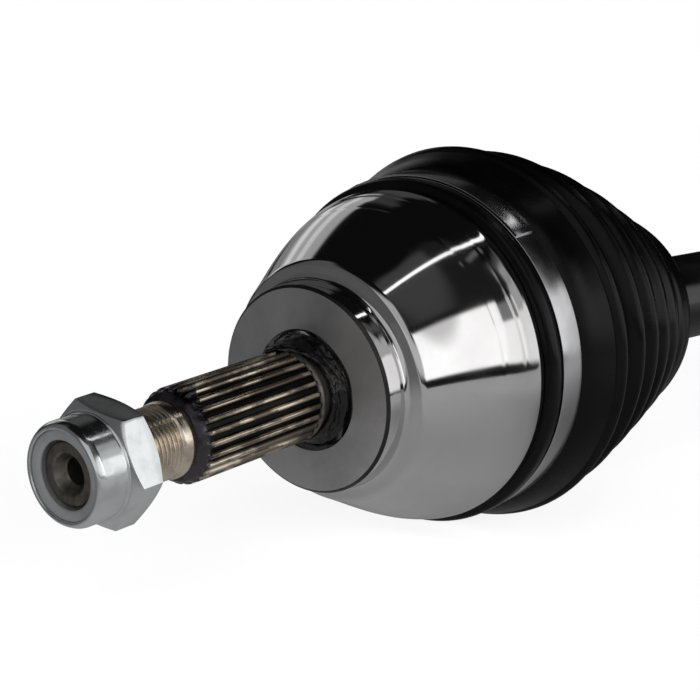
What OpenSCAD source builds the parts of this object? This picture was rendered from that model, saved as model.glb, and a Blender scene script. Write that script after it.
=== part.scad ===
/* [Layout] */
// Distance between the centres of the wheel-side and the gearbox-side joint
joint_centre_len = 360; // [320:5:600]
// Angle by which the wheel end droops at rest, in degrees
rest_bend = 5.3; // [0:0.1:9]

/* [Bar] */
// Radius of the bar's thick middle
bar_r = 14.8; // [13.8:0.1:16]
// Radius of the bar's neck beside the wheel-side joint
bar_outer_neck_r = 11.5; // [10.6:0.1:12.3]
// Radius of the bar's splined end in the wheel-side joint
bar_outer_end_r = 12.5; // [12:0.1:14]
// Radius of the seat under the wheel-side boot's neck
bar_outer_seat_r = 13.2; // [12.5:0.1:13.6]
// Radius of the bar's neck beside the gearbox-side joint
bar_inner_neck_r = 10.4; // [9.5:0.1:10.6]
// Radius of the bar's splined end in the gearbox-side joint
bar_inner_end_r = 10.8; // [10:0.1:11.2]
// Radius of the seat under the gearbox-side boot's neck
bar_inner_seat_r = 12.6; // [12:0.1:13.2]
// Length of the neck, from the wheel-side joint's centre
bar_outer_neck_len = 58; // [50:1:70]
// Length of the neck, from the gearbox-side joint's centre
bar_inner_neck_len = 62; // [56:1:74]
// Length of each cone between two radii of the bar
bar_cone_len = 5; // [3:0.5:8]
// Height of the two ridges that hold a boot's neck in place
seat_ridge_h = 0.5; // [0.3:0.1:0.8]
// Width of such a ridge
seat_ridge_w = 1.5; // [1:0.1:2]

/* [Wheel-side housing] */
// Radius of the face that the hub bears on
hub_face_r = 29.8; // [27:0.1:30.5]
// Radius of the fillet between the band behind that face and the bell's shoulder
face_fillet_r = 2.6; // [2:0.1:3]
// Chamfer at the edge of the face
face_chamfer = 0.8; // [0.4:0.1:1.2]
// Radius where the bell begins to swell
bell_root_r = 34.3; // [33.4:0.1:36]
// Depth behind the face where the bell begins to swell
bell_root_depth = 8.7; // [7.5:0.1:10]
// Rounding of the shoulder in front of it
shoulder_round = 0.8; // [0.4:0.1:1]
// Width of the shallow groove behind that shoulder
shoulder_groove_w = 1.2; // [0.6:0.1:2]
// Greatest radius of the bell
bell_r = 49.3; // [48:0.1:52]
// Depth behind the face of the bell's greatest radius
bell_wide_depth = 42; // [38:0.5:43]
// Depth behind the face of the bell's shoulder, where the boot begins
bell_shoulder_depth = 46.4; // [45.5:0.1:48]
// Radius of the seat under the boot
boot_seat_r = 46.9; // [45.5:0.1:47.4]
// Length of that seat
boot_seat_len = 15.6; // [14.5:0.1:17]
// Depth behind the face of the joint's centre
joint_depth = 44; // [42:0.5:45]
// Radius of the bell's open mouth
bell_mouth_r = 40; // [38.5:0.1:41.5]

/* [Wheel-side stub] */
// Greatest radius of the hub spline
hub_spline_r = 13.1; // [12.4:0.1:14]
// Depth of its grooves
hub_spline_depth = 1.15; // [0.8:0.05:1.4]
// Number of its teeth
hub_spline_teeth = 25; // [20:1:30]
// Distance from the face to the front end of the spline
hub_spline_end = 53.6; // [50:0.5:55]
// Distance from the face to the spline's inner end
hub_spline_start = 6.5; // [5:0.1:9]
// Radius of the fillet ring at the stub's root
stub_root_r = 17.1; // [16:0.1:19]
// Radius of the screw thread
thread_r = 10; // [9:0.1:11]
// Distance from the face to the inner end of the thread
thread_start = 57.8; // [56.5:0.1:59]
// Distance from the face to the end of the stub
stub_end = 88.6; // [86:0.1:90]
// Chamfer at the end of the stub
stub_chamfer = 1.8; // [1:0.1:2.2]
// Radius of the centre hole in the stub's end
centre_hole_r = 3.6; // [2:0.1:4.5]
// Depth of the centre hole
centre_hole_depth = 9; // [5:0.5:14]

/* [Hub nut] */
// Width of the nut across its flats
nut_flats = 30; // [27:0.5:32]
// Length of the hexagon
nut_hex_len = 9.7; // [8:0.1:12]
// Distance from the face to the nut's bearing side
nut_start = 71.4; // [68:0.1:72]
// Outer radius of the round collar that holds the insert
nut_collar_r = 13.4; // [12.6:0.1:13.6]
// Length of the collar
nut_collar_len = 9; // [7:0.1:10]
// Wall of the collar
nut_collar_wall = 1.3; // [1:0.1:1.6]
// Axial length of the nylon insert
insert_len = 5.5; // [4:0.1:6]

/* [Wheel-side joint] */
// Radius from the joint's centre to the centres of the balls
ball_circle_r = 31.5; // [31:0.1:32]
// Radius of a ball
ball_r = 9.525; // [9.2:0.005:9.6]
// Outer radius of the spherical cage
cage_r = 36; // [35.2:0.1:36.6]
// Wall of the cage
cage_wall = 6; // [5:0.1:6.5]
// Half of the cage's width
cage_half_w = 15.5; // [14.5:0.1:16]
// Half of the inner race's width
race_half_w = 13; // [12:0.1:13.4]
// Depth of the bell's hollow past the joint's centre
bell_hollow_depth = 29.5; // [29:0.1:31]

/* [Wheel-side boot] */
// Number of folds
outer_folds = 6; // [5:1:7]
// Radius of the first fold's crown
outer_first_crown_r = 57.3; // [54:0.1:60]
// Radius of the last fold's crown
outer_last_crown_r = 34.8; // [32:0.1:38]
// Depth behind the face of the first crown
outer_first_crown_depth = 75.6; // [74:0.1:78]
// Distance from one crown to the next
outer_fold_pitch = 14.3; // [12:0.1:14.6]
// Depth of the valleys beside the first fold
outer_fold_h = 10; // [7:0.1:11]
// Depth of the valleys beside the last fold
outer_last_fold_h = 4; // [3:0.1:6]
// Wall of the boot
boot_wall = 2.2; // [1.8:0.1:2.6]
// Thickness of the boot under its large clamp
outer_lip_wall = 3.4; // [3:0.1:4]
// Height of the beads on both sides of a clamp
bead_h = 1.3; // [0.9:0.1:1.6]
// Length of the boot's neck
neck_len = 15; // [13:0.5:17]
// Thickness of the boot's neck
neck_wall = 2.4; // [2:0.1:3]

/* [Clamps] */
// Width of the large clamp bands
large_band_w = 9; // [7:0.1:9.6]
// Width of the small clamp bands
small_band_w = 7; // [6:0.1:8]
// Thickness of a clamp band
band_t = 0.9; // [0.6:0.1:1.1]
// Angle over which a band's ends overlap, in degrees
band_overlap = 75; // [50:1:90]
// Height of a clamp's lock
lock_h = 1.6; // [1:0.1:2.4]
// Angle by which the wheel-side boot's large clamp is turned about the shaft, in degrees
large_clamp_turn = 135; // [0:5:355]

/* [Gearbox-side housing] */
// Radius from the joint's centre line to each track's centre line
track_circle_r = 21; // [20.5:0.1:21.5]
// Wall of the housing beside a track
track_wall = 4.8; // [4:0.1:5.5]
// Radius of the housing's hollow
tulip_hollow_r = 33; // [32.4:0.1:34]
// Radius of the housing's three lobes
tulip_r = 38.5; // [37.5:0.1:39]
// Radius of the round rim at its mouth
tulip_rim_r = 40; // [39:0.1:41]
// Width of that rim
tulip_rim_w = 17; // [15:0.5:19]
// Radius of the hollow between the tracks
tulip_waist_r = 23.5; // [22.5:0.1:24]
// Thickness of the housing's floor
tulip_floor = 12; // [10:0.5:14]
// Radius of the shoulder that faces the gearbox
tulip_shoulder_r = 23; // [21:0.1:26]

/* [Gearbox-side stub] */
// Radius of the journal that the oil seal runs on
journal_r = 17.5; // [16:0.1:19]
// Length of the journal
journal_len = 16; // [12:0.5:22]
// Greatest radius of the gearbox spline
gear_spline_r = 13.5; // [12.5:0.1:14.5]
// Depth of its grooves
gear_spline_depth = 1.1; // [0.8:0.05:1.4]
// Number of its teeth
gear_spline_teeth = 27; // [22:1:32]
// Length of the spline
gear_spline_len = 44; // [36:1:52]
// Width of the groove for the stub's ring
stub_groove_w = 1.9; // [1.5:0.1:2.4]
// Length of the spline's end past that groove
stub_tip_len = 5; // [4:0.1:7]

/* [Gearbox-side joint] */
// Outer radius of a roller
roller_r = 17; // [16.6:0.1:17.1]
// Height of a roller along its trunnion
roller_h = 11; // [10:0.1:11.4]
// Radius of a trunnion
trunnion_r = 9.9; // [9.4:0.1:10.2]
// Distance from the joint's centre to a trunnion's end
trunnion_end = 29.2; // [28.8:0.1:29.6]
// Radius of a needle
needle_r = 1.25; // [1.1:0.05:1.35]
// Number of needles on a trunnion
needle_count = 24; // [18:1:26]
// Outer radius of the spider's hub
spider_hub_r = 14.8; // [14.2:0.1:15.1]
// Half of the spider's width
spider_half_w = 11.5; // [10.5:0.1:12]
// Longest travel of the joint to each side
plunge = 15; // [10:1:15]
// Largest working angle of the joint, in degrees
inner_tilt_max = 15; // [10:1:15]

/* [Gearbox-side boot] */
// Number of folds
inner_folds = 5; // [4:1:6]
// Radius of the first fold's crown
inner_first_crown_r = 42; // [38:0.1:44]
// Radius of the last fold's crown
inner_last_crown_r = 26; // [24:0.1:30]
// Distance from one crown to the next
inner_fold_pitch = 13; // [11:0.1:14]
// Depth of the valleys beside the first fold
inner_fold_h = 9; // [6:0.1:10]
// Depth of the valleys beside the last fold
inner_last_fold_h = 4.5; // [3:0.1:6]
// Thickness of the boot under its large clamp
inner_lip_wall = 3; // [2.6:0.1:3.4]

/* [Rings] */
// Thickness of the round-wire rings
ring_t = 1.6; // [1.3:0.1:1.7]
// Angle of a ring's gap, in degrees
ring_gap = 36; // [20:1:60]
// Thickness of the flat rings on the trunnions
clip_t = 1.1; // [0.9:0.1:1.3]
// Height of those rings above the trunnion's surface
clip_h = 1.4; // [1.1:0.1:1.8]

/* [Clearances] */
// Gap between pieces that seat on each other
seat_gap = 0.05; // [0.03:0.01:0.08]
// Gap between the spherical faces of the wheel-side joint
sphere_gap = 0.12; // [0.08:0.01:0.2]
// Gap between a ball and its tracks
ball_gap = 0.3; // [0.25:0.01:0.4]
// Sideways play of a ball in the cage's window
window_shift = 1.1; // [1:0.1:1.3]
// Gap between a roller and its track
roller_gap = 0.7; // [0.65:0.01:0.8]
// Gap between a soft piece and the metal under it
soft_gap = 0.15; // [0.1:0.01:0.3]

/* [Hidden] */
$fn = 72;
cut = 1;

// Ball positions round the joint, in degrees from straight up
ball_angles = [30, 90, 150, 210, 270, 330];
trunnion_angles = [0, 120, 240];

// Gearbox-side joint: floor of the hollow, centre of the joint and mouth of the housing
tilt_shift = track_circle_r * sin(inner_tilt_max);
floor_space = 1.5;
mouth_space = 6;
inner_x = tulip_floor + plunge + tilt_shift + roller_r + floor_space;
tulip_mouth_x = inner_x + plunge + tilt_shift + mouth_space;
outer_x = inner_x + joint_centre_len;
track_r = roller_r + roller_gap;
rim_start = tulip_mouth_x - tulip_rim_w;

// Wheel-side boot, as depths behind the hub face
mouth_depth = bell_shoulder_depth + boot_seat_len;
large_band_start = mouth_depth - large_band_w - bead_h / 2;
outer_last_depth = outer_first_crown_depth + (outer_folds - 1) * outer_fold_pitch;
outer_neck_start = outer_last_depth + outer_fold_pitch / 2;
outer_neck_end = outer_neck_start + neck_len;
outer_lip_r = boot_seat_r + soft_gap + outer_lip_wall;
lip_start = bell_shoulder_depth + soft_gap;

// Gearbox-side boot, as places along the shaft
inner_lip_r = tulip_rim_r + soft_gap + inner_lip_wall;
inner_band_start = tulip_mouth_x - large_band_w - 2 * bead_h;
inner_first_x = tulip_mouth_x + inner_fold_pitch / 2;
inner_last_x = inner_first_x + (inner_folds - 1) * inner_fold_pitch;
inner_neck_start = inner_last_x + inner_fold_pitch / 2;
inner_neck_end = inner_neck_start + neck_len;

soft_segments = 36;
soft_round = cos(180 / soft_segments);

// A place in the wheel-side joint, still in line with the bar
module at_outer() { translate([outer_x, 0, 0]) children(); }

// A place on the drooping wheel end, measured from the joint's centre
module on_housing() { at_outer() rotate([0, rest_bend, 0]) children(); }

// A place on the gearbox-side joint's spider
module at_inner() { translate([inner_x, 0, 0]) children(); }

// A solid of revolution about X, from [place along X, radius] points
module turned(points) {
    rotate([0, 90, 0]) rotate([0, 0, 90]) rotate_extrude() polygon([for (p = points) [p[1], p[0]]]);
}

// A sphere whose poles lie on X
module globe(r) { rotate([0, 90, 0]) sphere(r = r); }

// A straight round bar along X between two places
module rod(x0, x1, r) { translate([x0, 0, 0]) rotate([0, 90, 0]) cylinder(r = r, h = x1 - x0); }

// A round tube along X between two places
module sleeve(x0, x1, r, bore) {
    difference() {
        rod(x0, x1, r);
        rod(x0 - cut, x1 + cut, bore);
    }
}

// A splined bar along X, with its crests chamfered at both ends and a groove cut between each two teeth
module splined(x0, x1, r, depth, teeth) {
    pitch = 2 * PI * r / teeth;
    root_share = 0.18;
    crest_share = 0.36;
    root_w = root_share * pitch;
    top_w = (2 * crest_share - root_share) * pitch;
    difference() {
        turned([[x0, 0], [x0, r - depth], [x0 + 2 * depth, r], [x1 - 2 * depth, r],
                [x1, r - depth], [x1, 0]]);
        for (i = [0:teeth - 1]) rotate([360 * i / teeth, 0, 0]) translate([x0 - cut, 0, r - depth])
            rotate([0, 90, 0]) linear_extrude(height = x1 - x0 + 2 * cut)
                polygon([[0, -root_w], [-2 * depth, -top_w], [-2 * depth, top_w], [0, root_w]]);
    }
}

// A ring of round wire with a gap, lying in a groove about X
module wire_ring(x, r, wire_r) {
    translate([x, 0, 0]) rotate([0, 90, 0]) rotate([0, 0, ring_gap / 2])
        rotate_extrude(angle = 360 - ring_gap) translate([r, 0]) circle(r = wire_r, $fn = 24);
}

// A band clamp about X: its ends overlap, and a low lock stands on the far end of that overlap
module band_clamp(x0, w, r, turn) {
    lock_share = 0.5;
    lock_w = w * lock_share;
    translate([x0 + w / 2, 0, 0]) rotate([turn, 0, 0]) {
        sleeve(-w / 2, w / 2, r + band_t, r);
        rotate([0, 90, 0]) rotate_extrude(angle = band_overlap)
            translate([r + band_t, -w / 2]) square([band_t, w]);
        rotate([0, 90, 0]) rotate([0, 0, band_overlap]) translate([r + band_t, -lock_w, -lock_w / 2])
            cube([band_t + lock_h, lock_w, lock_w]);
    }
}

// Radius of a boot's crowns, and depth of its valleys, after a share of its folds
crown_power = 1.3;
function crown_r(first, last, share) = first - (first - last) * pow(share, crown_power);
function valley_h(first, last, share) = last + (first - last) * (1 - share) * (1 - share);

// The wavy outline k folds past the first crown
function fold_r(first, last, folds, first_h, last_h, k) =
    let (share = min(1, max(0, k / (folds - 1))))
    crown_r(first, last, share) - valley_h(first_h, last_h, share) * (1 - cos(360 * k)) / 2;
function outer_fold_r(k) =
    fold_r(outer_first_crown_r, outer_last_crown_r, outer_folds, outer_fold_h, outer_last_fold_h, k);
function inner_fold_r(k) =
    fold_r(inner_first_crown_r, inner_last_crown_r, inner_folds, inner_fold_h, inner_last_fold_h, k);

// Outline of the wheel-side boot, as [depth, radius] points
steps_per_fold = 6;
outer_outline = concat(
    [[lip_start, outer_lip_r], [lip_start + bead_h, outer_lip_r + bead_h],
     [large_band_start - bead_h, outer_lip_r + bead_h], [large_band_start - soft_gap, outer_lip_r],
     [large_band_start + large_band_w + soft_gap, outer_lip_r],
     [large_band_start + large_band_w + bead_h, outer_lip_r + bead_h]],
    [for (i = [-1:steps_per_fold * (outer_folds - 1) + 2])
        let (k = i / steps_per_fold)
        [outer_first_crown_depth + k * outer_fold_pitch, outer_fold_r(k)]],
    [[outer_neck_start, bar_outer_seat_r + soft_gap + neck_wall + bead_h],
     [outer_neck_start + bead_h, bar_outer_seat_r + soft_gap + neck_wall],
     [outer_neck_end - bead_h, bar_outer_seat_r + soft_gap + neck_wall],
     [outer_neck_end, bar_outer_seat_r + soft_gap + neck_wall + bead_h]]);

// Inside of the wheel-side boot, back from its neck to its lip
half_steps = 2;
outer_inside = concat(
    [[outer_neck_end, (bar_outer_seat_r + soft_gap) / soft_round],
     [outer_neck_start + boot_wall, (bar_outer_seat_r + soft_gap) / soft_round]],
    [for (i = [half_steps * (outer_folds - 1):-1:0])
        let (k = i / half_steps)
        [outer_first_crown_depth + k * outer_fold_pitch, outer_fold_r(k) - boot_wall]],
    [[mouth_depth + boot_wall, outer_lip_r - boot_wall / 2],
     [mouth_depth + soft_gap, (boot_seat_r + soft_gap) / soft_round],
     [lip_start, (boot_seat_r + soft_gap) / soft_round]]);

// Share of the rest bend that is left at a depth: all on the housing, none on the bar
function bend_share(depth) =
    let (t = min(1, max(0, (depth - mouth_depth) / (outer_neck_start - mouth_depth))))
    1 - t * t * (3 - 2 * t);

// A point of the wheel-side boot at an angle round its bent centre line
function boot_point(p, a) =
    let (x = joint_depth - p[0], y = p[1] * sin(a), z = p[1] * cos(a), b = rest_bend * bend_share(p[0]))
    [outer_x + x * cos(b) + z * sin(b), y, z * cos(b) - x * sin(b)];

module inner_housing() {
    stub_len = journal_len + gear_spline_len;
    groove_r = gear_spline_r - gear_spline_depth - ring_t;
    lobe_end = tulip_mouth_x - face_chamfer;
    color("#8d8f92") difference() {
        union() {
            turned([[-journal_len, 0], [-journal_len, journal_r - face_chamfer],
                    [face_chamfer - journal_len, journal_r], [face_chamfer, journal_r], [face_chamfer, 0]]);
            difference() {
                splined(-stub_len, 2 * gear_spline_depth - journal_len, gear_spline_r, gear_spline_depth,
                        gear_spline_teeth);
                sleeve(-stub_len + stub_tip_len, -stub_len + stub_tip_len + stub_groove_w,
                       gear_spline_r + cut, groove_r);
            }
            intersection() {
                union() {
                    for (a = trunnion_angles) rotate([a, 0, 0]) translate([0, track_circle_r, 0])
                        rod(0, lobe_end, track_r + track_wall);
                    rod(0, lobe_end, tulip_waist_r + track_wall);
                }
                turned([[0, 0], [0, tulip_shoulder_r], [tulip_floor + track_wall, tulip_r],
                        [tulip_mouth_x, tulip_r], [tulip_mouth_x, 0]]);
            }
            turned([[rim_start - track_wall, 0], [rim_start - track_wall, tulip_waist_r],
                    [rim_start, tulip_rim_r], [lobe_end, tulip_rim_r],
                    [tulip_mouth_x, tulip_rim_r - face_chamfer], [tulip_mouth_x, 0]]);
        }
        intersection() {
            union() {
                for (a = trunnion_angles) rotate([a, 0, 0]) translate([0, track_circle_r, 0])
                    rod(tulip_floor, tulip_mouth_x + cut, track_r);
                rod(tulip_floor, tulip_mouth_x + cut, tulip_waist_r);
            }
            rod(0, tulip_mouth_x + 2 * cut, tulip_hollow_r);
        }
    }
}

module inner_stub_ring() {
    x = -journal_len - gear_spline_len + stub_tip_len + stub_groove_w / 2;
    color("#5d6064") wire_ring(x, gear_spline_r - gear_spline_depth - ring_t / 2 + seat_gap, ring_t / 2);
}

module inner_boot() {
    step_count = 8;
    neck_r = bar_inner_seat_r + soft_gap + neck_wall;
    color("#1d1d1f") turned(concat(
        [[inner_band_start - bead_h - soft_gap, tulip_rim_r + soft_gap],
         [inner_band_start - bead_h - soft_gap, inner_lip_r + bead_h],
         [inner_band_start - soft_gap, inner_lip_r],
         [inner_band_start + large_band_w + soft_gap, inner_lip_r],
         [inner_band_start + large_band_w + bead_h, inner_lip_r + bead_h]],
        [for (i = [0:step_count * (inner_folds - 1) + 2])
            let (k = i / step_count)
            [inner_first_x + k * inner_fold_pitch, inner_fold_r(k)]],
        [[inner_neck_start, neck_r + bead_h], [inner_neck_start + bead_h, neck_r],
         [inner_neck_end - bead_h, neck_r], [inner_neck_end, neck_r + bead_h],
         [inner_neck_end, bar_inner_seat_r + soft_gap],
         [inner_neck_start + boot_wall, bar_inner_seat_r + soft_gap]],
        [for (i = [step_count * (inner_folds - 1):-1:0])
            let (k = i / step_count)
            [inner_first_x + k * inner_fold_pitch, inner_fold_r(k) - boot_wall]],
        [[tulip_mouth_x + soft_gap, tulip_rim_r + soft_gap]]));
}

module inner_boot_large_clamp() {
    color("#b9bcc0") band_clamp(inner_band_start, large_band_w, inner_lip_r + seat_gap, 0);
}

module inner_boot_small_clamp() {
    color("#b9bcc0") band_clamp(inner_neck_start + (neck_len - small_band_w) / 2, small_band_w,
                                bar_inner_seat_r + soft_gap + neck_wall + seat_gap, 0);
}

// One crowned roller on the trunnion that points along an angle
module roller(a) {
    bore_r = trunnion_r + 2 * needle_r + 3 * seat_gap;
    color("#a9abae") at_inner() rotate([a, 0, 0]) translate([0, track_circle_r, 0]) rotate([-90, 0, 0])
        difference() {
            intersection() {
                sphere(r = roller_r);
                translate([0, 0, -roller_h / 2]) cylinder(r = roller_r, h = roller_h);
            }
            translate([0, 0, -roller_h]) cylinder(r = bore_r, h = 2 * roller_h);
        }
}

// The row of needles round the trunnion that points along an angle
module needles(a) {
    needle_h = roller_h - 2 * clip_t;
    color("#c3c5c8") at_inner() rotate([a, 0, 0]) translate([0, track_circle_r, 0]) rotate([-90, 0, 0])
        for (i = [0:needle_count - 1]) rotate([0, 0, 360 * i / needle_count])
            translate([trunnion_r + needle_r + seat_gap, 0, -needle_h / 2])
                cylinder(r = needle_r, h = needle_h, $fn = 16);
}

module trunnion_clips() {
    top = track_circle_r + roller_h / 2 + seat_gap * 2;
    color("#5d6064") at_inner() for (a = trunnion_angles) rotate([a, 0, 0]) rotate([-90, 0, 0])
        translate([0, 0, top]) difference() {
            cylinder(r = trunnion_r + clip_h, h = clip_t);
            translate([0, 0, -cut]) cylinder(r = trunnion_r - clip_t + seat_gap, h = clip_t + 2 * cut);
        }
}

module spider() {
    groove = track_circle_r + roller_h / 2 + seat_gap;
    color("#97999d") at_inner() difference() {
        union() {
            rod(-spider_half_w, spider_half_w, spider_hub_r);
            for (a = trunnion_angles) rotate([a, 0, 0]) rotate([-90, 0, 0]) difference() {
                cylinder(r = trunnion_r, h = trunnion_end);
                translate([0, 0, groove]) difference() {
                    cylinder(r = trunnion_r + cut, h = clip_t + 2 * seat_gap);
                    cylinder(r = trunnion_r - clip_t, h = clip_t + 2 * seat_gap);
                }
            }
        }
        rod(-spider_half_w - cut, spider_half_w + cut, bar_inner_end_r + seat_gap);
    }
}

module spider_ring() {
    color("#5d6064") at_inner()
        wire_ring(-spider_half_w - seat_gap - ring_t / 2, bar_inner_end_r, ring_t / 2);
}

module bar() {
    o = outer_x;
    i = inner_x;
    ring_x = spider_half_w + seat_gap + ring_t / 2;
    race_ring_x = race_half_w + seat_gap + ring_t / 2;
    tip_share = 1.5;
    tip = ring_t * tip_share;
    outer_seat = o + joint_depth - outer_neck_end;
    outer_seat_end = o + joint_depth - outer_neck_start;
    ridge_gap = soft_gap + seat_ridge_w;
    groove = ring_t / 2 + seat_gap;
    color("#232326") difference() {
        turned([[i - ring_x - tip, 0], [i - ring_x - tip, bar_inner_end_r - ring_t / 2],
                [i - ring_x - tip + ring_t / 2, bar_inner_end_r],
                [i + spider_half_w, bar_inner_end_r], [i + spider_half_w + seat_gap, spider_hub_r - ring_t],
                [i + spider_half_w + ring_t, spider_hub_r - ring_t],
                [i + spider_half_w + bar_cone_len, bar_inner_neck_r],
                [i + bar_inner_neck_len, bar_inner_neck_r],
                [i + bar_inner_neck_len + bar_cone_len, bar_inner_seat_r],
                [inner_neck_end + soft_gap, bar_inner_seat_r],
                [inner_neck_end + soft_gap, bar_inner_seat_r + seat_ridge_h],
                [inner_neck_end + ridge_gap, bar_inner_seat_r + seat_ridge_h],
                [inner_neck_end + ridge_gap, bar_inner_seat_r],
                [inner_neck_end + ridge_gap + bar_cone_len, bar_r],
                [outer_seat - ridge_gap - bar_cone_len, bar_r],
                [outer_seat - ridge_gap, bar_outer_seat_r],
                [outer_seat - ridge_gap, bar_outer_seat_r + seat_ridge_h],
                [outer_seat - soft_gap, bar_outer_seat_r + seat_ridge_h],
                [outer_seat - soft_gap, bar_outer_seat_r],
                [outer_seat_end + bar_cone_len, bar_outer_seat_r],
                [o - bar_outer_neck_len - bar_cone_len, bar_outer_seat_r],
                [o - bar_outer_neck_len, bar_outer_neck_r],
                [o - race_half_w - bar_cone_len, bar_outer_neck_r],
                [o - race_half_w - ring_t, bar_outer_end_r + ring_t],
                [o - race_half_w - seat_gap, bar_outer_end_r + ring_t],
                [o - race_half_w, bar_outer_end_r],
                [o + race_ring_x + tip - ring_t / 2, bar_outer_end_r],
                [o + race_ring_x + tip, bar_outer_end_r - ring_t / 2], [o + race_ring_x + tip, 0]]);
        translate([i - ring_x, 0, 0]) rotate([0, 90, 0]) rotate_extrude()
            translate([bar_inner_end_r, 0]) circle(r = groove, $fn = 24);
        translate([o + race_ring_x, 0, 0]) rotate([0, 90, 0]) rotate_extrude()
            translate([bar_outer_end_r, 0]) circle(r = groove, $fn = 24);
    }
}

// The curved tracks that the balls run in, as solids to cut away, between two places along X
module ball_tracks(x0, x1) {
    intersection() {
        for (k = [0:2]) rotate([90 - ball_angles[k], 0, 0]) rotate_extrude()
            translate([ball_circle_r, 0]) circle(r = ball_r + ball_gap, $fn = 48);
        rod(x0, x1, bell_r + cut);
    }
}

module inner_race() {
    color("#8b8d90") at_outer() difference() {
        intersection() {
            globe(cage_r - cage_wall - sphere_gap);
            rod(-race_half_w, race_half_w, cage_r);
        }
        rod(-race_half_w - cut, race_half_w + cut, bar_outer_end_r + seat_gap);
        ball_tracks(-race_half_w - cut, race_half_w + cut);
    }
}

module race_ring() {
    color("#5d6064") at_outer()
        wire_ring(race_half_w + seat_gap + ring_t / 2, bar_outer_end_r, ring_t / 2);
}

// The cage's windows let a ball shift sideways a little when the joint bends
module cage() {
    half_w = ball_r + ball_gap;
    color("#b0894f") at_outer() rotate([0, rest_bend / 2, 0]) difference() {
        intersection() {
            globe(cage_r);
            rod(-cage_half_w, cage_half_w, cage_r + cut);
        }
        globe(cage_r - cage_wall);
        for (a = ball_angles) rotate([-a, 0, 0])
            translate([-half_w, -half_w - window_shift, cage_r - 2 * cage_wall])
                cube([2 * half_w, 2 * (half_w + window_shift), cage_r]);
    }
}

// One ball, on the plane that halves the joint's angle
module ball(index) {
    a = ball_angles[index];
    shift = atan(cos(a) * tan(rest_bend / 2));
    color("#d5d7da") at_outer() rotate(a = shift, v = [0, cos(a), -sin(a)])
        translate([0, ball_circle_r * sin(a), ball_circle_r * cos(a)]) sphere(r = ball_r);
}

// Rise of the bell's outline, from 0 at its root to 1 at its greatest radius
function bell_rise(t) =
    let (start_slope = 1.05, end_slope = 0.45)
    t * t * (3 - 2 * t) + (t * t * t - 2 * t * t + t) * start_slope + (t * t * t - t * t) * end_slope;

module outer_housing() {
    d = joint_depth;
    mouth_x = d - mouth_depth;
    bell_steps = 10;
    shoulder_x = d - bell_root_depth + shoulder_round;
    fillet_steps = 4;
    seat_ring_share = 0.35;
    throat_share = 0.4;
    root_r = hub_spline_r + face_chamfer / 2;
    bottom = bell_hollow_depth;
    color("#9a9ca0") on_housing() difference() {
        union() {
            turned(concat(
                [[mouth_x, 0], [mouth_x, boot_seat_r - face_chamfer], [mouth_x + face_chamfer, boot_seat_r],
                 [d - bell_shoulder_depth, boot_seat_r],
                 [d - bell_shoulder_depth, bell_r - face_chamfer],
                 [d - bell_shoulder_depth + face_chamfer, bell_r]],
                [for (i = [bell_steps:-1:1])
                    let (t = i / bell_steps)
                    [d - bell_root_depth - (bell_wide_depth - bell_root_depth) * t,
                     bell_root_r + (bell_r - bell_root_r) * bell_rise(t)]],
                [[d - bell_root_depth - shoulder_groove_w, bell_root_r],
                 [d - bell_root_depth, bell_root_r],
                 [shoulder_x - shoulder_round / 4, bell_root_r - shoulder_round / 4],
                 [shoulder_x, bell_root_r - shoulder_round]],
                [for (i = [0:fillet_steps])
                    let (a = 90 * i / fillet_steps)
                    [shoulder_x + face_fillet_r * (1 - cos(a)),
                     hub_face_r + face_fillet_r * (1 - sin(a))]],
                [[d - face_chamfer, hub_face_r], [d, hub_face_r - face_chamfer], [d, stub_root_r],
                 [d + (stub_root_r - hub_spline_r) * seat_ring_share, stub_root_r - face_chamfer],
                 [d + hub_spline_start / 2, root_r], [d + hub_spline_start, root_r],
                 [d + hub_spline_start, 0]]));
            translate([d, 0, 0]) splined(hub_spline_start / 2, hub_spline_end, hub_spline_r,
                                         hub_spline_depth, hub_spline_teeth);
            turned([[d + hub_spline_end - cut, 0], [d + hub_spline_end - cut, thread_r],
                    [d + hub_spline_end, thread_r - face_chamfer],
                    [d + thread_start - face_chamfer, thread_r - face_chamfer],
                    [d + thread_start, thread_r],
                    [d + stub_end - stub_chamfer, thread_r], [d + stub_end, thread_r - stub_chamfer],
                    [d + stub_end, 0]]);
        }
        intersection() {
            globe(cage_r + sphere_gap);
            rod(-cage_r - cut, bottom, cage_r + cut);
        }
        turned([[mouth_x - cut, 0], [mouth_x - cut, bell_mouth_r], [mouth_x, bell_mouth_r],
                [mouth_x * throat_share, cage_r - 2 * face_chamfer - cut],
                [mouth_x * throat_share, 0]]);
        ball_tracks(mouth_x - cut, ball_circle_r * sin(45));
        turned([[d + stub_end - centre_hole_depth, 0],
                [d + stub_end - centre_hole_depth + centre_hole_r / 2, centre_hole_r / 2],
                [d + stub_end - centre_hole_r, centre_hole_r / 2], [d + stub_end, centre_hole_r],
                [d + stub_end + cut, centre_hole_r], [d + stub_end + cut, 0]]);
    }
}

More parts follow.
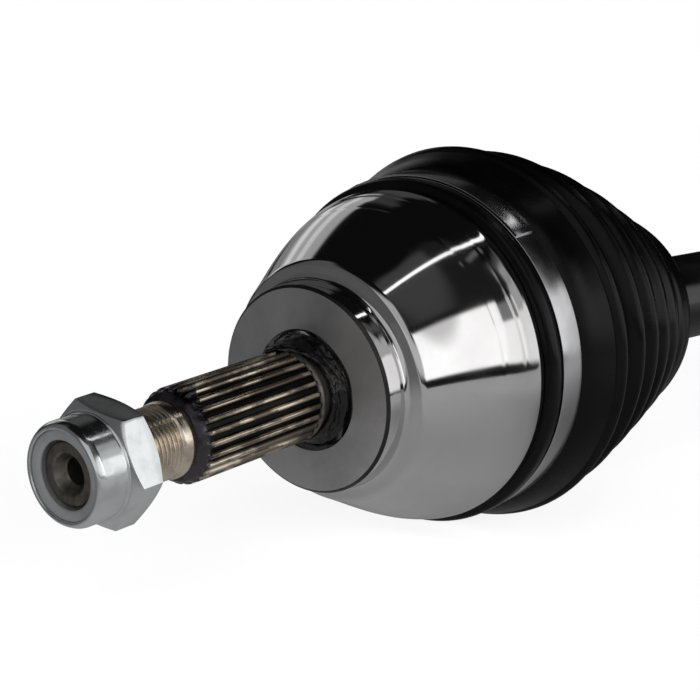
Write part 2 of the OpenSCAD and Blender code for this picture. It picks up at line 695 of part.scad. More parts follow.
module hub_nut() {
    d = joint_depth + nut_start;
    hex_r = nut_flats / 2 / cos(30);
    chamfer = hex_r - nut_flats / 2;
    end = d + nut_hex_len + nut_collar_len;
    lip_share = 1.5;
    lip = nut_collar_wall * lip_share;
    color("#c9cdd0") on_housing() difference() {
        union() {
            intersection() {
                translate([d, 0, 0]) rotate([0, 90, 0]) cylinder(r = hex_r, h = nut_hex_len, $fn = 6);
                turned([[d, 0], [d, nut_flats / 2], [d + chamfer / 2, hex_r],
                        [d + nut_hex_len - chamfer / 2, hex_r],
                        [d + nut_hex_len, nut_flats / 2], [d + nut_hex_len, 0]]);
            }
            turned([[d + nut_hex_len - cut, 0], [d + nut_hex_len - cut, nut_collar_r],
                    [end - lip, nut_collar_r], [end, nut_collar_r - lip], [end, 0]]);
        }
        rod(d - cut, end + cut, thread_r + seat_gap);
        rod(end - insert_len - nut_collar_wall, end - nut_collar_wall, nut_collar_r - nut_collar_wall);
    }
}

module nut_insert() {
    end = joint_depth + nut_start + nut_hex_len + nut_collar_len - nut_collar_wall;
    color("#a7a9a6") on_housing()
        sleeve(end - insert_len + seat_gap, end - seat_gap, nut_collar_r - nut_collar_wall - seat_gap,
               thread_r + seat_gap);
}

// The wheel-side boot follows the bend, so its rings are swept one by one
module outer_boot() {
    outline = concat(outer_outline, outer_inside);
    count = len(outline);
    points = [for (p = outline, s = [0:soft_segments - 1]) boot_point(p, 360 * s / soft_segments)];
    faces = [for (i = [0:count - 1], s = [0:soft_segments - 1])
        let (j = (i + 1) % count, t = (s + 1) % soft_segments)
        [i * soft_segments + s, j * soft_segments + s, j * soft_segments + t, i * soft_segments + t]];
    color("#1d1d1f") polyhedron(points = points, faces = faces);
}

module outer_boot_large_clamp() {
    x0 = joint_depth - large_band_start - large_band_w;
    color("#b9bcc0") on_housing()
        band_clamp(x0, large_band_w, outer_lip_r + seat_gap, large_clamp_turn);
}

module outer_boot_small_clamp() {
    start = outer_neck_start + (neck_len - small_band_w) / 2;
    color("#b9bcc0") at_outer() translate([joint_depth - start - small_band_w, 0, 0])
        band_clamp(0, small_band_w, bar_outer_seat_r + soft_gap + neck_wall + seat_gap, 0);
}

inner_housing();
inner_stub_ring();
inner_boot();
inner_boot_large_clamp();
inner_boot_small_clamp();
roller(trunnion_angles[0]);  // roller_a
roller(trunnion_angles[1]);  // roller_b
roller(trunnion_angles[2]);  // roller_c
needles(trunnion_angles[0]);  // needles_a
needles(trunnion_angles[1]);  // needles_b
needles(trunnion_angles[2]);  // needles_c
trunnion_clips();
spider();
spider_ring();
bar();
inner_race();
race_ring();
cage();
ball(0);  // ball_1
ball(1);  // ball_2
ball(2);  // ball_3
ball(3);  // ball_4
ball(4);  // ball_5
ball(5);  // ball_6
outer_housing();
hub_nut();
nut_insert();
outer_boot();
outer_boot_large_clamp();
outer_boot_small_clamp();
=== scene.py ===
# %% [markdown]
# # A car's drive shaft, seen from its wheel end
#
# The real object is a half shaft: a splined, threaded stub with a hub nut, a polished bell that hides a ball joint,
# a black ribbed rubber boot held by a steel band, a black bar, and a second joint with its own boot at the gearbox
# end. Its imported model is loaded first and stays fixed. Nearly all of it was turned on a lathe or moulded round one
# line, so most pieces here are an outline spun round that line.

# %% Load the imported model
import math
import bmesh
import bpy
from mathutils import Matrix, Vector, noise


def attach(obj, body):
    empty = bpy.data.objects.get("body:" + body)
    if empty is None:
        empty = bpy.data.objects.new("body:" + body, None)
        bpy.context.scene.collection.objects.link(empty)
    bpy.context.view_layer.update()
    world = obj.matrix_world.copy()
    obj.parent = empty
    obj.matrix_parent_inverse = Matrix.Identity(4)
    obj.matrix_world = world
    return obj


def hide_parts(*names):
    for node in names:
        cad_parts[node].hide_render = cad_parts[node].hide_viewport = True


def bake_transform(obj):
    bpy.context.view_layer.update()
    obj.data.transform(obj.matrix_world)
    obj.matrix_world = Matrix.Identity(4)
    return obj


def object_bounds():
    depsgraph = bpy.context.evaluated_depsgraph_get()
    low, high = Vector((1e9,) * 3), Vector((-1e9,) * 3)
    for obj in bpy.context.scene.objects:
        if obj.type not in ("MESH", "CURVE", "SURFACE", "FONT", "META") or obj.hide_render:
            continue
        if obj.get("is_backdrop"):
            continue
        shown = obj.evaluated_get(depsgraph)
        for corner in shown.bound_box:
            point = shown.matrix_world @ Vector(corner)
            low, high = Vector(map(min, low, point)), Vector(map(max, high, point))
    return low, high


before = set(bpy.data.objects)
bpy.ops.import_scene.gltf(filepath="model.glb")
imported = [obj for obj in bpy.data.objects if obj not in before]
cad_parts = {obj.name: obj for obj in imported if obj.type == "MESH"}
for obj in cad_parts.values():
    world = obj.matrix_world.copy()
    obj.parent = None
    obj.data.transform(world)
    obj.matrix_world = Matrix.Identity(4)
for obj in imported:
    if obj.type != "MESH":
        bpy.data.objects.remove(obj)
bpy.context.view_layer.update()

scene = bpy.context.scene
scene.view_settings.view_transform = "Standard"

# %% [markdown]
# ## The two lines of the shaft
#
# The bar lies on X. The wheel end droops by 5.3 degrees about the ball joint's centre, so what belongs to it is made
# on X as well, measured from that centre, and turned into place in its mesh. All sizes below are in millimetres, as
# a drawing would give them, and become metres at the end.

# %% Places and sizes that several pieces share
MM = 0.001
REST_BEND = math.radians(5.3)
OUTER_X, INNER_X = 410.935, 50.935          # centres of the two joints
JOINT_DEPTH = 44.0                          # from the hub face to the ball joint's centre
MOUTH_DEPTH = 62.0                          # from the hub face to the bell's mouth
NECK_DEPTH = 154.25                         # from the hub face to the start of the boot's neck
ON_BAR = Matrix.Scale(MM, 4)
ON_WHEEL_END = Matrix.Scale(MM, 4) @ Matrix.Translation((OUTER_X, 0, 0)) @ Matrix.Rotation(REST_BEND, 4, "Y")
AT_BALL_JOINT = Matrix.Scale(MM, 4) @ Matrix.Translation((OUTER_X, 0, 0))
face_centre = ON_WHEEL_END @ Vector((JOINT_DEPTH, 0, 0))
print("hub face centre:", [round(v, 5) for v in face_centre])

# %% [markdown]
# ## The camera
#
# The photograph was taken from in front of the stub, a little above it and with a long lens. The place and the lens
# come from the circles of the nut, the face, the bell's rims and the boot's folds, which only one camera shows as
# they are.

# %% Make the camera
def make_camera():
    data = bpy.data.cameras.new("photo_camera")
    data.sensor_width = 36.0
    data.lens = 36.0 * 2000 / 700
    data.clip_start, data.clip_end = 0.01, 20.0
    camera = bpy.data.objects.new("photo_camera", data)
    scene.collection.objects.link(camera)
    right = Vector((-0.63909, 0.76913, 0.0)).normalized()
    back = Vector((0.75846, 0.63023, 0.16591)).normalized()
    up = back.cross(right).normalized()
    right = up.cross(back).normalized()
    turn = Matrix((right, up, back)).transposed().to_4x4()
    camera.matrix_world = Matrix.Translation((0.86599, 0.35803, 0.09895)) @ turn
    scene.camera = camera
    return camera

camera = make_camera()
print("camera at", [round(v, 4) for v in camera.location], "lens", round(camera.data.lens, 2))

# %% [markdown]
# ## Ways of making a piece
#
# A lathe part could be a curve with a Screw modifier or a spun mesh. The spin in bmesh is chosen, because its rings
# can be changed afterwards: an edge gets a small bevel, a ring of teeth gets its height. A profile is a list of
# places along X with their radii, so it reads like a turner's drawing.

# %% Helpers that turn an outline into a piece
def spun(profile, steps=128, closed=True, angle=math.tau, offset=(0, 0, 0)):
    """An outline of (place along X, radius) turned round X; closed joins its last point to its first."""
    bm = bmesh.new()
    points = [bm.verts.new((x, 0.0, r)) for x, r in profile]
    edges = [bm.edges.new(pair) for pair in zip(points, points[1:])]
    if closed:
        edges.append(bm.edges.new((points[-1], points[0])))
    full = abs(angle - math.tau) < 1e-9 and not any(offset)
    bmesh.ops.spin(bm, geom=points + edges, cent=(0, 0, 0), axis=(1, 0, 0), dvec=offset, angle=angle,
                   steps=steps, use_merge=full)
    bmesh.ops.remove_doubles(bm, verts=bm.verts, dist=1e-4)
    flat = [f for f in bm.faces if f.calc_area() < 1e-7]
    if flat:
        bmesh.ops.delete(bm, geom=flat, context="FACES_ONLY")
    bmesh.ops.recalc_face_normals(bm, faces=bm.faces)
    return bm


def soften(bm, width, angle=28, segments=2, keep=None):
    """Breaks the sharp edges, as a file or a tumbling drum does."""
    sharp = [e for e in bm.edges if len(e.link_faces) == 2
             and e.calc_face_angle(0.0) > math.radians(angle) and (keep is None or keep(e))]
    if sharp:
        bmesh.ops.bevel(bm, geom=sharp, offset=width, offset_type="OFFSET", affect="EDGES", segments=segments,
                        profile=0.5, material=-1, clamp_overlap=True)
    return bm


def rounded(points, radius, steps=4):
    """The same outline with each inner corner replaced by a small arc."""
    out = [points[0]]
    for before, here, after in zip(points, points[1:], points[2:]):
        a, b, c = Vector(before), Vector(here), Vector(after)
        reach = min(radius, (b - a).length * 0.45, (c - b).length * 0.45)
        p, q = b + (a - b).normalized() * reach, b + (c - b).normalized() * reach
        for i in range(steps + 1):
            t = i / steps
            out.append(tuple((1 - t) ** 2 * p + 2 * t * (1 - t) * b + t * t * q))
    return out + [points[-1]]


def piece(name, bm, place, body, slot, *materials, stands_for=(), smooth=32):
    """Makes the mesh an object in the frame, riding on its body."""
    bm.transform(place)
    mesh = bpy.data.meshes.new(name)
    bm.to_mesh(mesh)
    bm.free()
    mesh.shade_smooth()
    mesh.set_sharp_from_angle(angle=math.radians(smooth))
    for m in materials:
        mesh.materials.append(m)
    made = bpy.data.objects.new(name, mesh)
    scene.collection.objects.link(made)
    if body:
        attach(made, body)
    if stands_for:
        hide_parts(*stands_for)
    print(f"{name}: {len(mesh.polygons)} faces")
    return made

# %% [markdown]
# ## Marks that several finishes share
#
# A lathe leaves fine rings round its line, and use leaves soft patches of oil and dust. Both are made once, as node
# groups, and each finish takes them at its own strength. They read Object coordinates, which a mapping turns into
# the line of the piece, so the rings follow the real axis.

# %% Shared node groups
def socket(group, name, kind="NodeSocketFloat", way="INPUT", value=None):
    made = group.interface.new_socket(name=name, in_out=way, socket_type=kind)
    if value is not None:
        made.default_value = value
    return made


def lathe_rings_group():
    """Fine rings round X: one number per place along X, mixed with a slow drift."""
    group = bpy.data.node_groups.new("lathe_rings", "ShaderNodeTree")
    socket(group, "Place", "NodeSocketVector")
    socket(group, "Fineness", value=9000.0)
    socket(group, "Rings", way="OUTPUT")
    nodes, links = group.nodes, group.links
    start, end = nodes.new("NodeGroupInput"), nodes.new("NodeGroupOutput")
    split = nodes.new("ShaderNodeSeparateXYZ")
    scale = nodes.new("ShaderNodeMath"); scale.operation = "MULTIPLY"
    noise = nodes.new("ShaderNodeTexNoise"); noise.noise_dimensions = "1D"
    noise.inputs["Scale"].default_value = 1.0
    noise.inputs["Detail"].default_value = 3.0
    noise.inputs["Roughness"].default_value = 0.7
    links.new(start.outputs["Place"], split.inputs[0])
    links.new(split.outputs["X"], scale.inputs[0])
    links.new(start.outputs["Fineness"], scale.inputs[1])
    links.new(scale.outputs[0], noise.inputs["W"])
    links.new(noise.outputs["Fac"], end.inputs["Rings"])
    return group


def patches_group():
    """Soft uneven patches, as oil, dust and handling leave them: 0 clean, 1 marked."""
    group = bpy.data.node_groups.new("patches", "ShaderNodeTree")
    socket(group, "Place", "NodeSocketVector")
    socket(group, "Size", value=60.0)
    socket(group, "Low", value=0.42)
    socket(group, "High", value=0.68)
    socket(group, "Patches", way="OUTPUT")
    nodes, links = group.nodes, group.links
    start, end = nodes.new("NodeGroupInput"), nodes.new("NodeGroupOutput")
    noise = nodes.new("ShaderNodeTexNoise")
    noise.inputs["Detail"].default_value = 5.0
    noise.inputs["Roughness"].default_value = 0.6
    ramp = nodes.new("ShaderNodeMapRange")
    ramp.interpolation_type = "SMOOTHSTEP"
    links.new(start.outputs["Place"], noise.inputs["Vector"])
    links.new(start.outputs["Size"], noise.inputs["Scale"])
    links.new(noise.outputs["Fac"], ramp.inputs["Value"])
    links.new(start.outputs["Low"], ramp.inputs["From Min"])
    links.new(start.outputs["High"], ramp.inputs["From Max"])
    links.new(ramp.outputs["Result"], end.inputs["Patches"])
    return group

def groove_floor_group():
    """1 on a groove's floor and 0 on the crests, from the distance to X: where painted shade darkens the grooves."""
    group = bpy.data.node_groups.new("groove_floor", "ShaderNodeTree")
    socket(group, "Place", "NodeSocketVector")
    socket(group, "Floor", value=0.0119)
    socket(group, "Top", value=0.0129)
    socket(group, "Groove", way="OUTPUT")
    nodes, links = group.nodes, group.links
    start, end = nodes.new("NodeGroupInput"), nodes.new("NodeGroupOutput")
    flat = nodes.new("ShaderNodeVectorMath"); flat.operation = "MULTIPLY"
    flat.inputs[1].default_value = (0, 1, 1)
    far = nodes.new("ShaderNodeVectorMath"); far.operation = "LENGTH"
    ramp = nodes.new("ShaderNodeMapRange"); ramp.interpolation_type = "SMOOTHSTEP"
    ramp.inputs["To Min"].default_value, ramp.inputs["To Max"].default_value = 1.0, 0.0
    links.new(start.outputs["Place"], flat.inputs[0])
    links.new(flat.outputs["Vector"], far.inputs[0])
    links.new(far.outputs["Value"], ramp.inputs["Value"])
    links.new(start.outputs["Floor"], ramp.inputs["From Min"])
    links.new(start.outputs["Top"], ramp.inputs["From Max"])
    links.new(ramp.outputs["Result"], end.inputs["Groove"])
    return group

LATHE_RINGS, PATCHES, GROOVE_SHADE_MASK = lathe_rings_group(), patches_group(), groove_floor_group()
print("shared groups:", LATHE_RINGS.name, PATCHES.name, GROOVE_SHADE_MASK.name)

# %% [markdown]
# ## The finishes
#
# One function lays out what all finishes have in common: a base colour that a second one breaks up in patches, a
# roughness that does the same, and a bump of lathe rings or grain. Each finish then only gives its own values. The
# numbers that don't change over a surface stay on the shader's own sockets.

# %% One layout for every finish
def finish_material(name, colour, patch_colour, rough, patch_rough, metal=1.0, patch_size=60.0, low=0.42,
                    high=0.68, rings=0.0, fineness=9000.0, grain=0.0, grain_size=2500.0, bump_depth=0.00004,
                    coat=0.0, coat_rough=0.1, specular=0.5, wheel_end=True, brushed=0.0, groove=None,
                    groove_shade_colour=(0, 0, 0), groove_rough=0.3, stretch=1.0, turned_colour=None, turned_rough=0.2):
    material = bpy.data.materials.new(name)
    material.use_nodes = True
    nodes, links = material.node_tree.nodes, material.node_tree.links
    shader = nodes["Principled BSDF"]
    shader.inputs["Metallic"].default_value = metal
    shader.inputs["Specular IOR Level"].default_value = specular
    shader.inputs["Coat Weight"].default_value = coat
    shader.inputs["Coat Roughness"].default_value = coat_rough
    place = nodes.new("ShaderNodeTexCoord")
    line = nodes.new("ShaderNodeMapping")
    line.vector_type = "POINT"
    if wheel_end:
        line.inputs["Rotation"].default_value = (0, -REST_BEND, 0)
        moved = Matrix.Rotation(-REST_BEND, 3, "Y") @ Vector((OUTER_X * MM, 0, 0))
        line.inputs["Location"].default_value = -moved
    links.new(place.outputs["Object"], line.inputs["Vector"])
    patches = nodes.new("ShaderNodeGroup"); patches.node_tree = PATCHES
    patches.inputs["Size"].default_value = patch_size
    patches.inputs["Low"].default_value = low
    patches.inputs["High"].default_value = high
    drawn = nodes.new("ShaderNodeVectorMath"); drawn.operation = "MULTIPLY"
    drawn.inputs[1].default_value = (stretch, 1.0, 1.0)
    links.new(line.outputs["Vector"], drawn.inputs[0])
    links.new(drawn.outputs["Vector"], patches.inputs["Place"])
    tint = nodes.new("ShaderNodeMix"); tint.data_type = "RGBA"
    tint.inputs["A"].default_value = (*colour, 1.0)
    tint.inputs["B"].default_value = (*patch_colour, 1.0)
    links.new(patches.outputs["Patches"], tint.inputs["Factor"])
    colour_out = tint.outputs["Result"]
    dull = nodes.new("ShaderNodeMapRange")
    dull.inputs["To Min"].default_value = rough
    dull.inputs["To Max"].default_value = patch_rough
    links.new(patches.outputs["Patches"], dull.inputs["Value"])
    rough_out = dull.outputs["Result"]
    # painted shade: a groove's floor is darkened towards a near-black colour
    if groove:
        depth = nodes.new("ShaderNodeGroup"); depth.node_tree = GROOVE_SHADE_MASK
        depth.inputs["Floor"].default_value, depth.inputs["Top"].default_value = groove
        links.new(line.outputs["Vector"], depth.inputs["Place"])
        painted_groove_shade = nodes.new("ShaderNodeMix"); painted_groove_shade.data_type = "RGBA"
        painted_groove_shade.inputs["B"].default_value = (*groove_shade_colour, 1.0)
        links.new(depth.outputs["Groove"], painted_groove_shade.inputs["Factor"])
        links.new(colour_out, painted_groove_shade.inputs["A"])
        colour_out = painted_groove_shade.outputs["Result"]
        wet = nodes.new("ShaderNodeMix")
        wet.inputs["B"].default_value = groove_rough
        links.new(depth.outputs["Groove"], wet.inputs["Factor"])
        links.new(rough_out, wet.inputs["A"])
        rough_out = wet.outputs["Result"]
    if turned_colour:
        split = nodes.new("ShaderNodeSeparateXYZ")
        before = nodes.new("ShaderNodeMapRange")
        before.inputs["From Min"].default_value, before.inputs["From Max"].default_value = 0.0, -0.0004
        bare = nodes.new("ShaderNodeMix"); bare.data_type = "RGBA"
        bare.inputs["B"].default_value = (*turned_colour, 1.0)
        even = nodes.new("ShaderNodeMix")
        even.inputs["B"].default_value = turned_rough
        links.new(line.outputs["Vector"], split.inputs[0])
        links.new(split.outputs["X"], before.inputs["Value"])
        links.new(before.outputs["Result"], bare.inputs["Factor"])
        links.new(before.outputs["Result"], even.inputs["Factor"])
        links.new(colour_out, bare.inputs["A"])
        links.new(rough_out, even.inputs["A"])
        colour_out, rough_out = bare.outputs["Result"], even.outputs["Result"]
    links.new(colour_out, shader.inputs["Base Color"])
    if brushed:
        round_axis = nodes.new("ShaderNodeTangent")
        round_axis.direction_type, round_axis.axis = "RADIAL", "X"
        shader.inputs["Anisotropic"].default_value = brushed
        shader.inputs["Anisotropic Rotation"].default_value = 0.25
        links.new(round_axis.outputs["Tangent"], shader.inputs["Tangent"])
    bump = nodes.new("ShaderNodeBump")
    bump.inputs["Distance"].default_value = bump_depth
    height = None
    if rings:
        marks = nodes.new("ShaderNodeGroup"); marks.node_tree = LATHE_RINGS
        marks.inputs["Fineness"].default_value = fineness
        links.new(line.outputs["Vector"], marks.inputs["Place"])
        height = nodes.new("ShaderNodeMath"); height.operation = "MULTIPLY"
        height.inputs[1].default_value = rings
        links.new(marks.outputs["Rings"], height.inputs[0])
        spread = nodes.new("ShaderNodeMath"); spread.operation = "MULTIPLY_ADD"
        spread.inputs[1].default_value = 0.16 * rings
        links.new(marks.outputs["Rings"], spread.inputs[0])
        links.new(rough_out, spread.inputs[2])
        rough_out = spread.outputs[0]
    if grain:
        fine = nodes.new("ShaderNodeTexNoise")
        fine.inputs["Scale"].default_value = grain_size
        fine.inputs["Detail"].default_value = 3.0
        links.new(line.outputs["Vector"], fine.inputs["Vector"])
        added = nodes.new("ShaderNodeMath"); added.operation = "MULTIPLY_ADD"
        added.inputs[1].default_value = grain
        links.new(fine.outputs["Fac"], added.inputs[0])
        if height is not None:
            links.new(height.outputs[0], added.inputs[2])
        else:
            added.inputs[2].default_value = 0.0
        height = added
    links.new(rough_out, shader.inputs["Roughness"])
    if height is not None:
        links.new(height.outputs[0], bump.inputs["Height"])
        links.new(bump.outputs["Normal"], shader.inputs["Normal"])
    return material

# %% The finishes of the wheel end
POLISHED = finish_material("polished_steel", (0.66, 0.655, 0.655), (0.60, 0.59, 0.59), 0.045, 0.075,
                           rings=0.25, fineness=2600, patch_size=30, bump_depth=0.000004)
FACE_STEEL = finish_material("ground_face_steel", (0.62, 0.61, 0.62), (0.52, 0.515, 0.52), 0.32, 0.42,
                             rings=1.0, fineness=3000, patch_size=45, bump_depth=0.00001, brushed=0.75)
# The chamfer at the hub face's edge is painted near black: this is painted shade, for the chamfer lies in shadow.
CHAMFER_SHADE_STEEL = finish_material("chamfer_with_painted_shade", (0.05, 0.05, 0.052), (0.09, 0.09, 0.09), 0.35, 0.45)
# The floors between the teeth are painted near black: painted shade in the grooves.
SPLINE_STEEL = finish_material("oiled_spline_steel", (0.66, 0.58, 0.46), (0.17, 0.145, 0.115), 0.16, 0.30,
                               patch_size=240, stretch=0.35, low=0.42, high=0.57, grain=0.25, grain_size=1500,
                               groove=(0.0119, 0.0129), groove_shade_colour=(0.010, 0.009, 0.009), groove_rough=0.30)
# The teeth's outer end is darker, and the darker part reaches further along on top.
DARKER_SPLINE_END = finish_material("darker_spline_end_steel", (0.10, 0.09, 0.10), (0.03, 0.028, 0.03), 0.16, 0.30,
                              patch_size=120)
GREASE = finish_material("grease_in_the_fillet", (0.003, 0.003, 0.003), (0.010, 0.009, 0.008), 0.10, 0.25, metal=0.0,
                         patch_size=380, coat=0.45, coat_rough=0.05, grain=1.0, grain_size=450, bump_depth=0.00025,
                         specular=0.25)
THREAD_STEEL = finish_material("thread_steel", (0.80, 0.71, 0.59), (0.52, 0.44, 0.35), 0.16, 0.28, patch_size=220,
                               rings=0.3)
END_STEEL = finish_material("dark_stub_end", (0.23, 0.21, 0.185), (0.13, 0.12, 0.105), 0.30, 0.44, patch_size=300,
                            rings=1.0, fineness=3000)
ZINC = finish_material("zinc_on_the_nut", (0.81, 0.835, 0.84), (0.71, 0.74, 0.75), 0.15, 0.25, patch_size=160,
                       grain=0.5, grain_size=1200, bump_depth=0.00002)
NYLON = finish_material("nylon_ring", (0.58, 0.61, 0.615), (0.45, 0.475, 0.48), 0.35, 0.5, metal=0.0, grain=0.5)
RUBBER = finish_material("boot_rubber", (0.0030, 0.0028, 0.0033), (0.0050, 0.0048, 0.0055), 0.22, 0.32, metal=0.0,
                         patch_size=45, grain=0.5, grain_size=900, bump_depth=0.00002, specular=0.19)
BAND_STEEL = finish_material("band_steel", (0.60, 0.60, 0.61), (0.54, 0.54, 0.55), 0.13, 0.20, patch_size=60,
                             rings=0.4, fineness=2000, bump_depth=0.000006)
print("finishes of the wheel end:", POLISHED.name, FACE_STEEL.name, SPLINE_STEEL.name, GREASE.name)

# %% The finishes of the bar, the gearbox end and the hidden parts
BAR_PAINT = finish_material("black_bar_paint", (0.006, 0.006, 0.007), (0.011, 0.011, 0.012), 0.16, 0.26, metal=0.0,
                            patch_size=35, grain=0.5, grain_size=400, coat=0.15, coat_rough=0.06, specular=0.35, wheel_end=False)
FORGED = finish_material("forged_steel", (0.26, 0.26, 0.265), (0.16, 0.155, 0.15), 0.36, 0.52, patch_size=55,
                         rings=0.3, fineness=2500, grain=0.8, grain_size=700, bump_depth=0.00008, wheel_end=False)
HOUSING_STEEL = finish_material("forged_and_turned_housing", (0.24, 0.24, 0.245), (0.15, 0.148, 0.145), 0.36, 0.50,
                                patch_size=55, rings=0.3, fineness=2500, grain=0.8, grain_size=700,
                                bump_depth=0.00006, wheel_end=False, turned_colour=(0.60, 0.60, 0.60),
                                turned_rough=0.16)
JOURNAL_STEEL = finish_material("ground_journal_steel", (0.62, 0.62, 0.62), (0.54, 0.54, 0.53), 0.14, 0.22,
                                rings=0.8, fineness=8000, wheel_end=False)
BEARING_STEEL = finish_material("bearing_steel", (0.62, 0.63, 0.64), (0.52, 0.52, 0.53), 0.12, 0.2,
                                wheel_end=False)
CAGE_STEEL = finish_material("cage_steel", (0.34, 0.31, 0.28), (0.22, 0.21, 0.20), 0.26, 0.4, patch_size=80,
                             rings=0.4, wheel_end=False)
SPRING_STEEL = finish_material("spring_steel", (0.10, 0.10, 0.105), (0.16, 0.15, 0.14), 0.3, 0.4, wheel_end=False)
print("other finishes:", BAR_PAINT.name, FORGED.name, JOURNAL_STEEL.name, BEARING_STEEL.name)

# %% [markdown]
# ## The bell
#
# The bell and the stub are one forging, turned and then polished. Its outline swells from the ring behind the hub
# face to its widest place near the boot. It could be a sphere cut in half, but the real one swells late and then
# runs nearly straight, so the outline follows a curve with a slope of its own at both ends. The hollow inside is
# round the joint's centre, as in the solid.

# %% Spin the bell with its hub face
def bell_rise(t):
    return (t * t * (3 - 2 * t) + (t ** 3 - 2 * t * t + t) * 1.05 + (t ** 3 - t * t) * 0.45)


def at_depth(depth, r):
    return (JOINT_DEPTH - depth, r)


def bell_outline():
    swell = [at_depth(8.7 + 33.3 * i / 96, 34.3 + 15.0 * bell_rise(i / 96)) for i in range(4, 97)]
    swell = [(x, r + sum(h * math.exp(-((JOINT_DEPTH - x - at) / w) ** 2) for at, w, h in TURNING_STEPS))
             for x, r in swell]
    front = [(0, 17.4), (0, 29.0), (0.8, 29.8), (3.5, 29.9)]
    front += [(6.2 + 2.1 * math.sin(a), 30.05 + 2.1 * (1 - math.cos(a)))
              for a in (math.radians(74) * i / 10 for i in range(11))]
    front += [(8.72, 33.35), (8.86, 33.8), (9.1, 34.15), (9.45, 34.45)]
    front = rounded([at_depth(*p) for p in front] + swell[:1], 0.2, steps=3)
    rim = rounded([swell[-1], at_depth(43.7, 49.4), at_depth(44.2, 48.85), at_depth(45.8, 48.85),
                   at_depth(46.4, 48.3), at_depth(46.4, 46.9), at_depth(61.2, 46.9), at_depth(62.0, 46.1),
                   at_depth(62.0, 40.0)], 0.3, steps=3)
    first, last = math.atan2(34.85, -9.4), math.atan2(20.8, 29.5)
    hollow = [(36.12 * math.cos(first + (last - first) * i / 32), 36.12 * math.sin(first + (last - first) * i / 32))
              for i in range(33)]
    return front[:-1] + swell + rim[1:] + hollow + [(29.5, 0.0)]

# Places where the lathe's tool was set anew: depth, half width and height of the trace it left
TURNING_STEPS = ((31.9, 0.5, -0.028), (34.6, 1.3, 0.028), (38.4, 0.45, -0.034), (40.2, 0.8, 0.022))
outline = bell_outline()
print("bell outline:", len(outline), "points, widest radius", round(max(r for _, r in outline), 2))

# %% [markdown]
# The bell takes three finishes: polished on the swell, satin on the hub face, and near-black steel on the chamfer at
# the face's edge, whose darkness is painted shade. Each face of the mesh is given its finish by where it lies on the
# shaft's line.

# %% Make the bell
def paint_by_place(bm, choose):
    for f in bm.faces:
        c = f.calc_center_median()
        f.material_index = choose(c.x, math.hypot(c.y, c.z))


def bell_finish(x, r):
    if x > JOINT_DEPTH - 0.15 and r < 28.9:
        return 1
    # the chamfer at the face's edge, whose near-black finish is painted shade
    if x > JOINT_DEPTH - 0.9 and r < 29.9:
        return 2
    return 0


def track_reach(x, angle):
    """Radius to which the nearest ball track cuts the hollow, 0 where it doesn't reach."""
    off = (math.degrees(angle) - 30 + 30) % 60 - 30
    side = abs(math.sin(math.radians(off)))
    ahead = math.cos(math.radians(off))
    for i in range(60):
        r = 41.4 - i * 0.25
        if (math.hypot(x, r * ahead) - 31.5) ** 2 + (r * side) ** 2 <= 9.86 ** 2:
            return r
    return 0.0

bm = spun(outline, steps=192)
for v in bm.verts:
    r = math.hypot(v.co.y, v.co.z)
    if abs(math.hypot(v.co.x, r) - 36.12) < 0.02 and v.co.x < 22.4:
        reach = track_reach(v.co.x, math.atan2(v.co.y, v.co.z))
        if reach > r:
            v.co.y *= reach / r
            v.co.z *= reach / r
paint_by_place(bm, bell_finish)
bell = piece("bell", bm, ON_WHEEL_END, "wheel_end", "polished_steel", POLISHED, FACE_STEEL, CHAMFER_SHADE_STEEL,
             stands_for=("outer_housing",))

# %% [markdown]
# ## The fillet, the spline and the thread
#
# Where the stub meets the face there is a fillet full of dark grease. Then come 25 teeth, a smooth relief groove
# and the thread. Teeth could be made one by one and copied round, but a ring whose radius rises and falls with the
# angle gives them all at once: the ring is extruded along the line, and at both ends it is held down to a cone,
# which is the chamfer a hob leaves.

# %% A ring of teeth drawn out along the line
def tooth_height(angle, teeth, major, depth, root=0.18, crest=0.36):
    """Radius of the spline at an angle: 0 to root share of a pitch is groove floor, past crest share is the top."""
    share = abs(((angle * teeth / math.tau + 0.5) % 1.0) - 0.5)
    t = min(1.0, max(0.0, (share - root) / (crest - root)))
    return major - depth + depth * t * t * (3 - 2 * t)


def splined_bar(stations, teeth, major, depth, steps_per_tooth=14):
    """Teeth along X through (place, greatest radius there, least radius there) stations, closed at both ends."""
    bm = bmesh.new()
    count = teeth * steps_per_tooth
    ring = bmesh.ops.create_circle(bm, cap_ends=False, segments=count, radius=1.0)["verts"]
    bmesh.ops.rotate(bm, verts=bm.verts, cent=(0, 0, 0), matrix=Matrix.Rotation(math.pi / 2, 3, "Y"))
    edges = list(bm.edges)

    def shape(verts, x, top, floor):
        for v in verts:
            a = math.atan2(v.co.y, v.co.z)
            r = max(floor, min(top, tooth_height(a, teeth, major, depth)))
            v.co = Vector((x, r * math.sin(a), r * math.cos(a)))
    shape(ring, *stations[0])
    first = edges
    for station in stations[1:]:
        out = bmesh.ops.extrude_edge_only(bm, edges=edges)["geom"]
        verts = [g for g in out if isinstance(g, bmesh.types.BMVert)]
        edges = [g for g in out if isinstance(g, bmesh.types.BMEdge)]
        edges = [e for e in edges if all(v in set(verts) for v in e.verts)]
        shape(verts, *station)
    for rim in (first, edges):
        bmesh.ops.holes_fill(bm, edges=rim, sides=0)
    bmesh.ops.recalc_face_normals(bm, faces=bm.faces)
    return bm

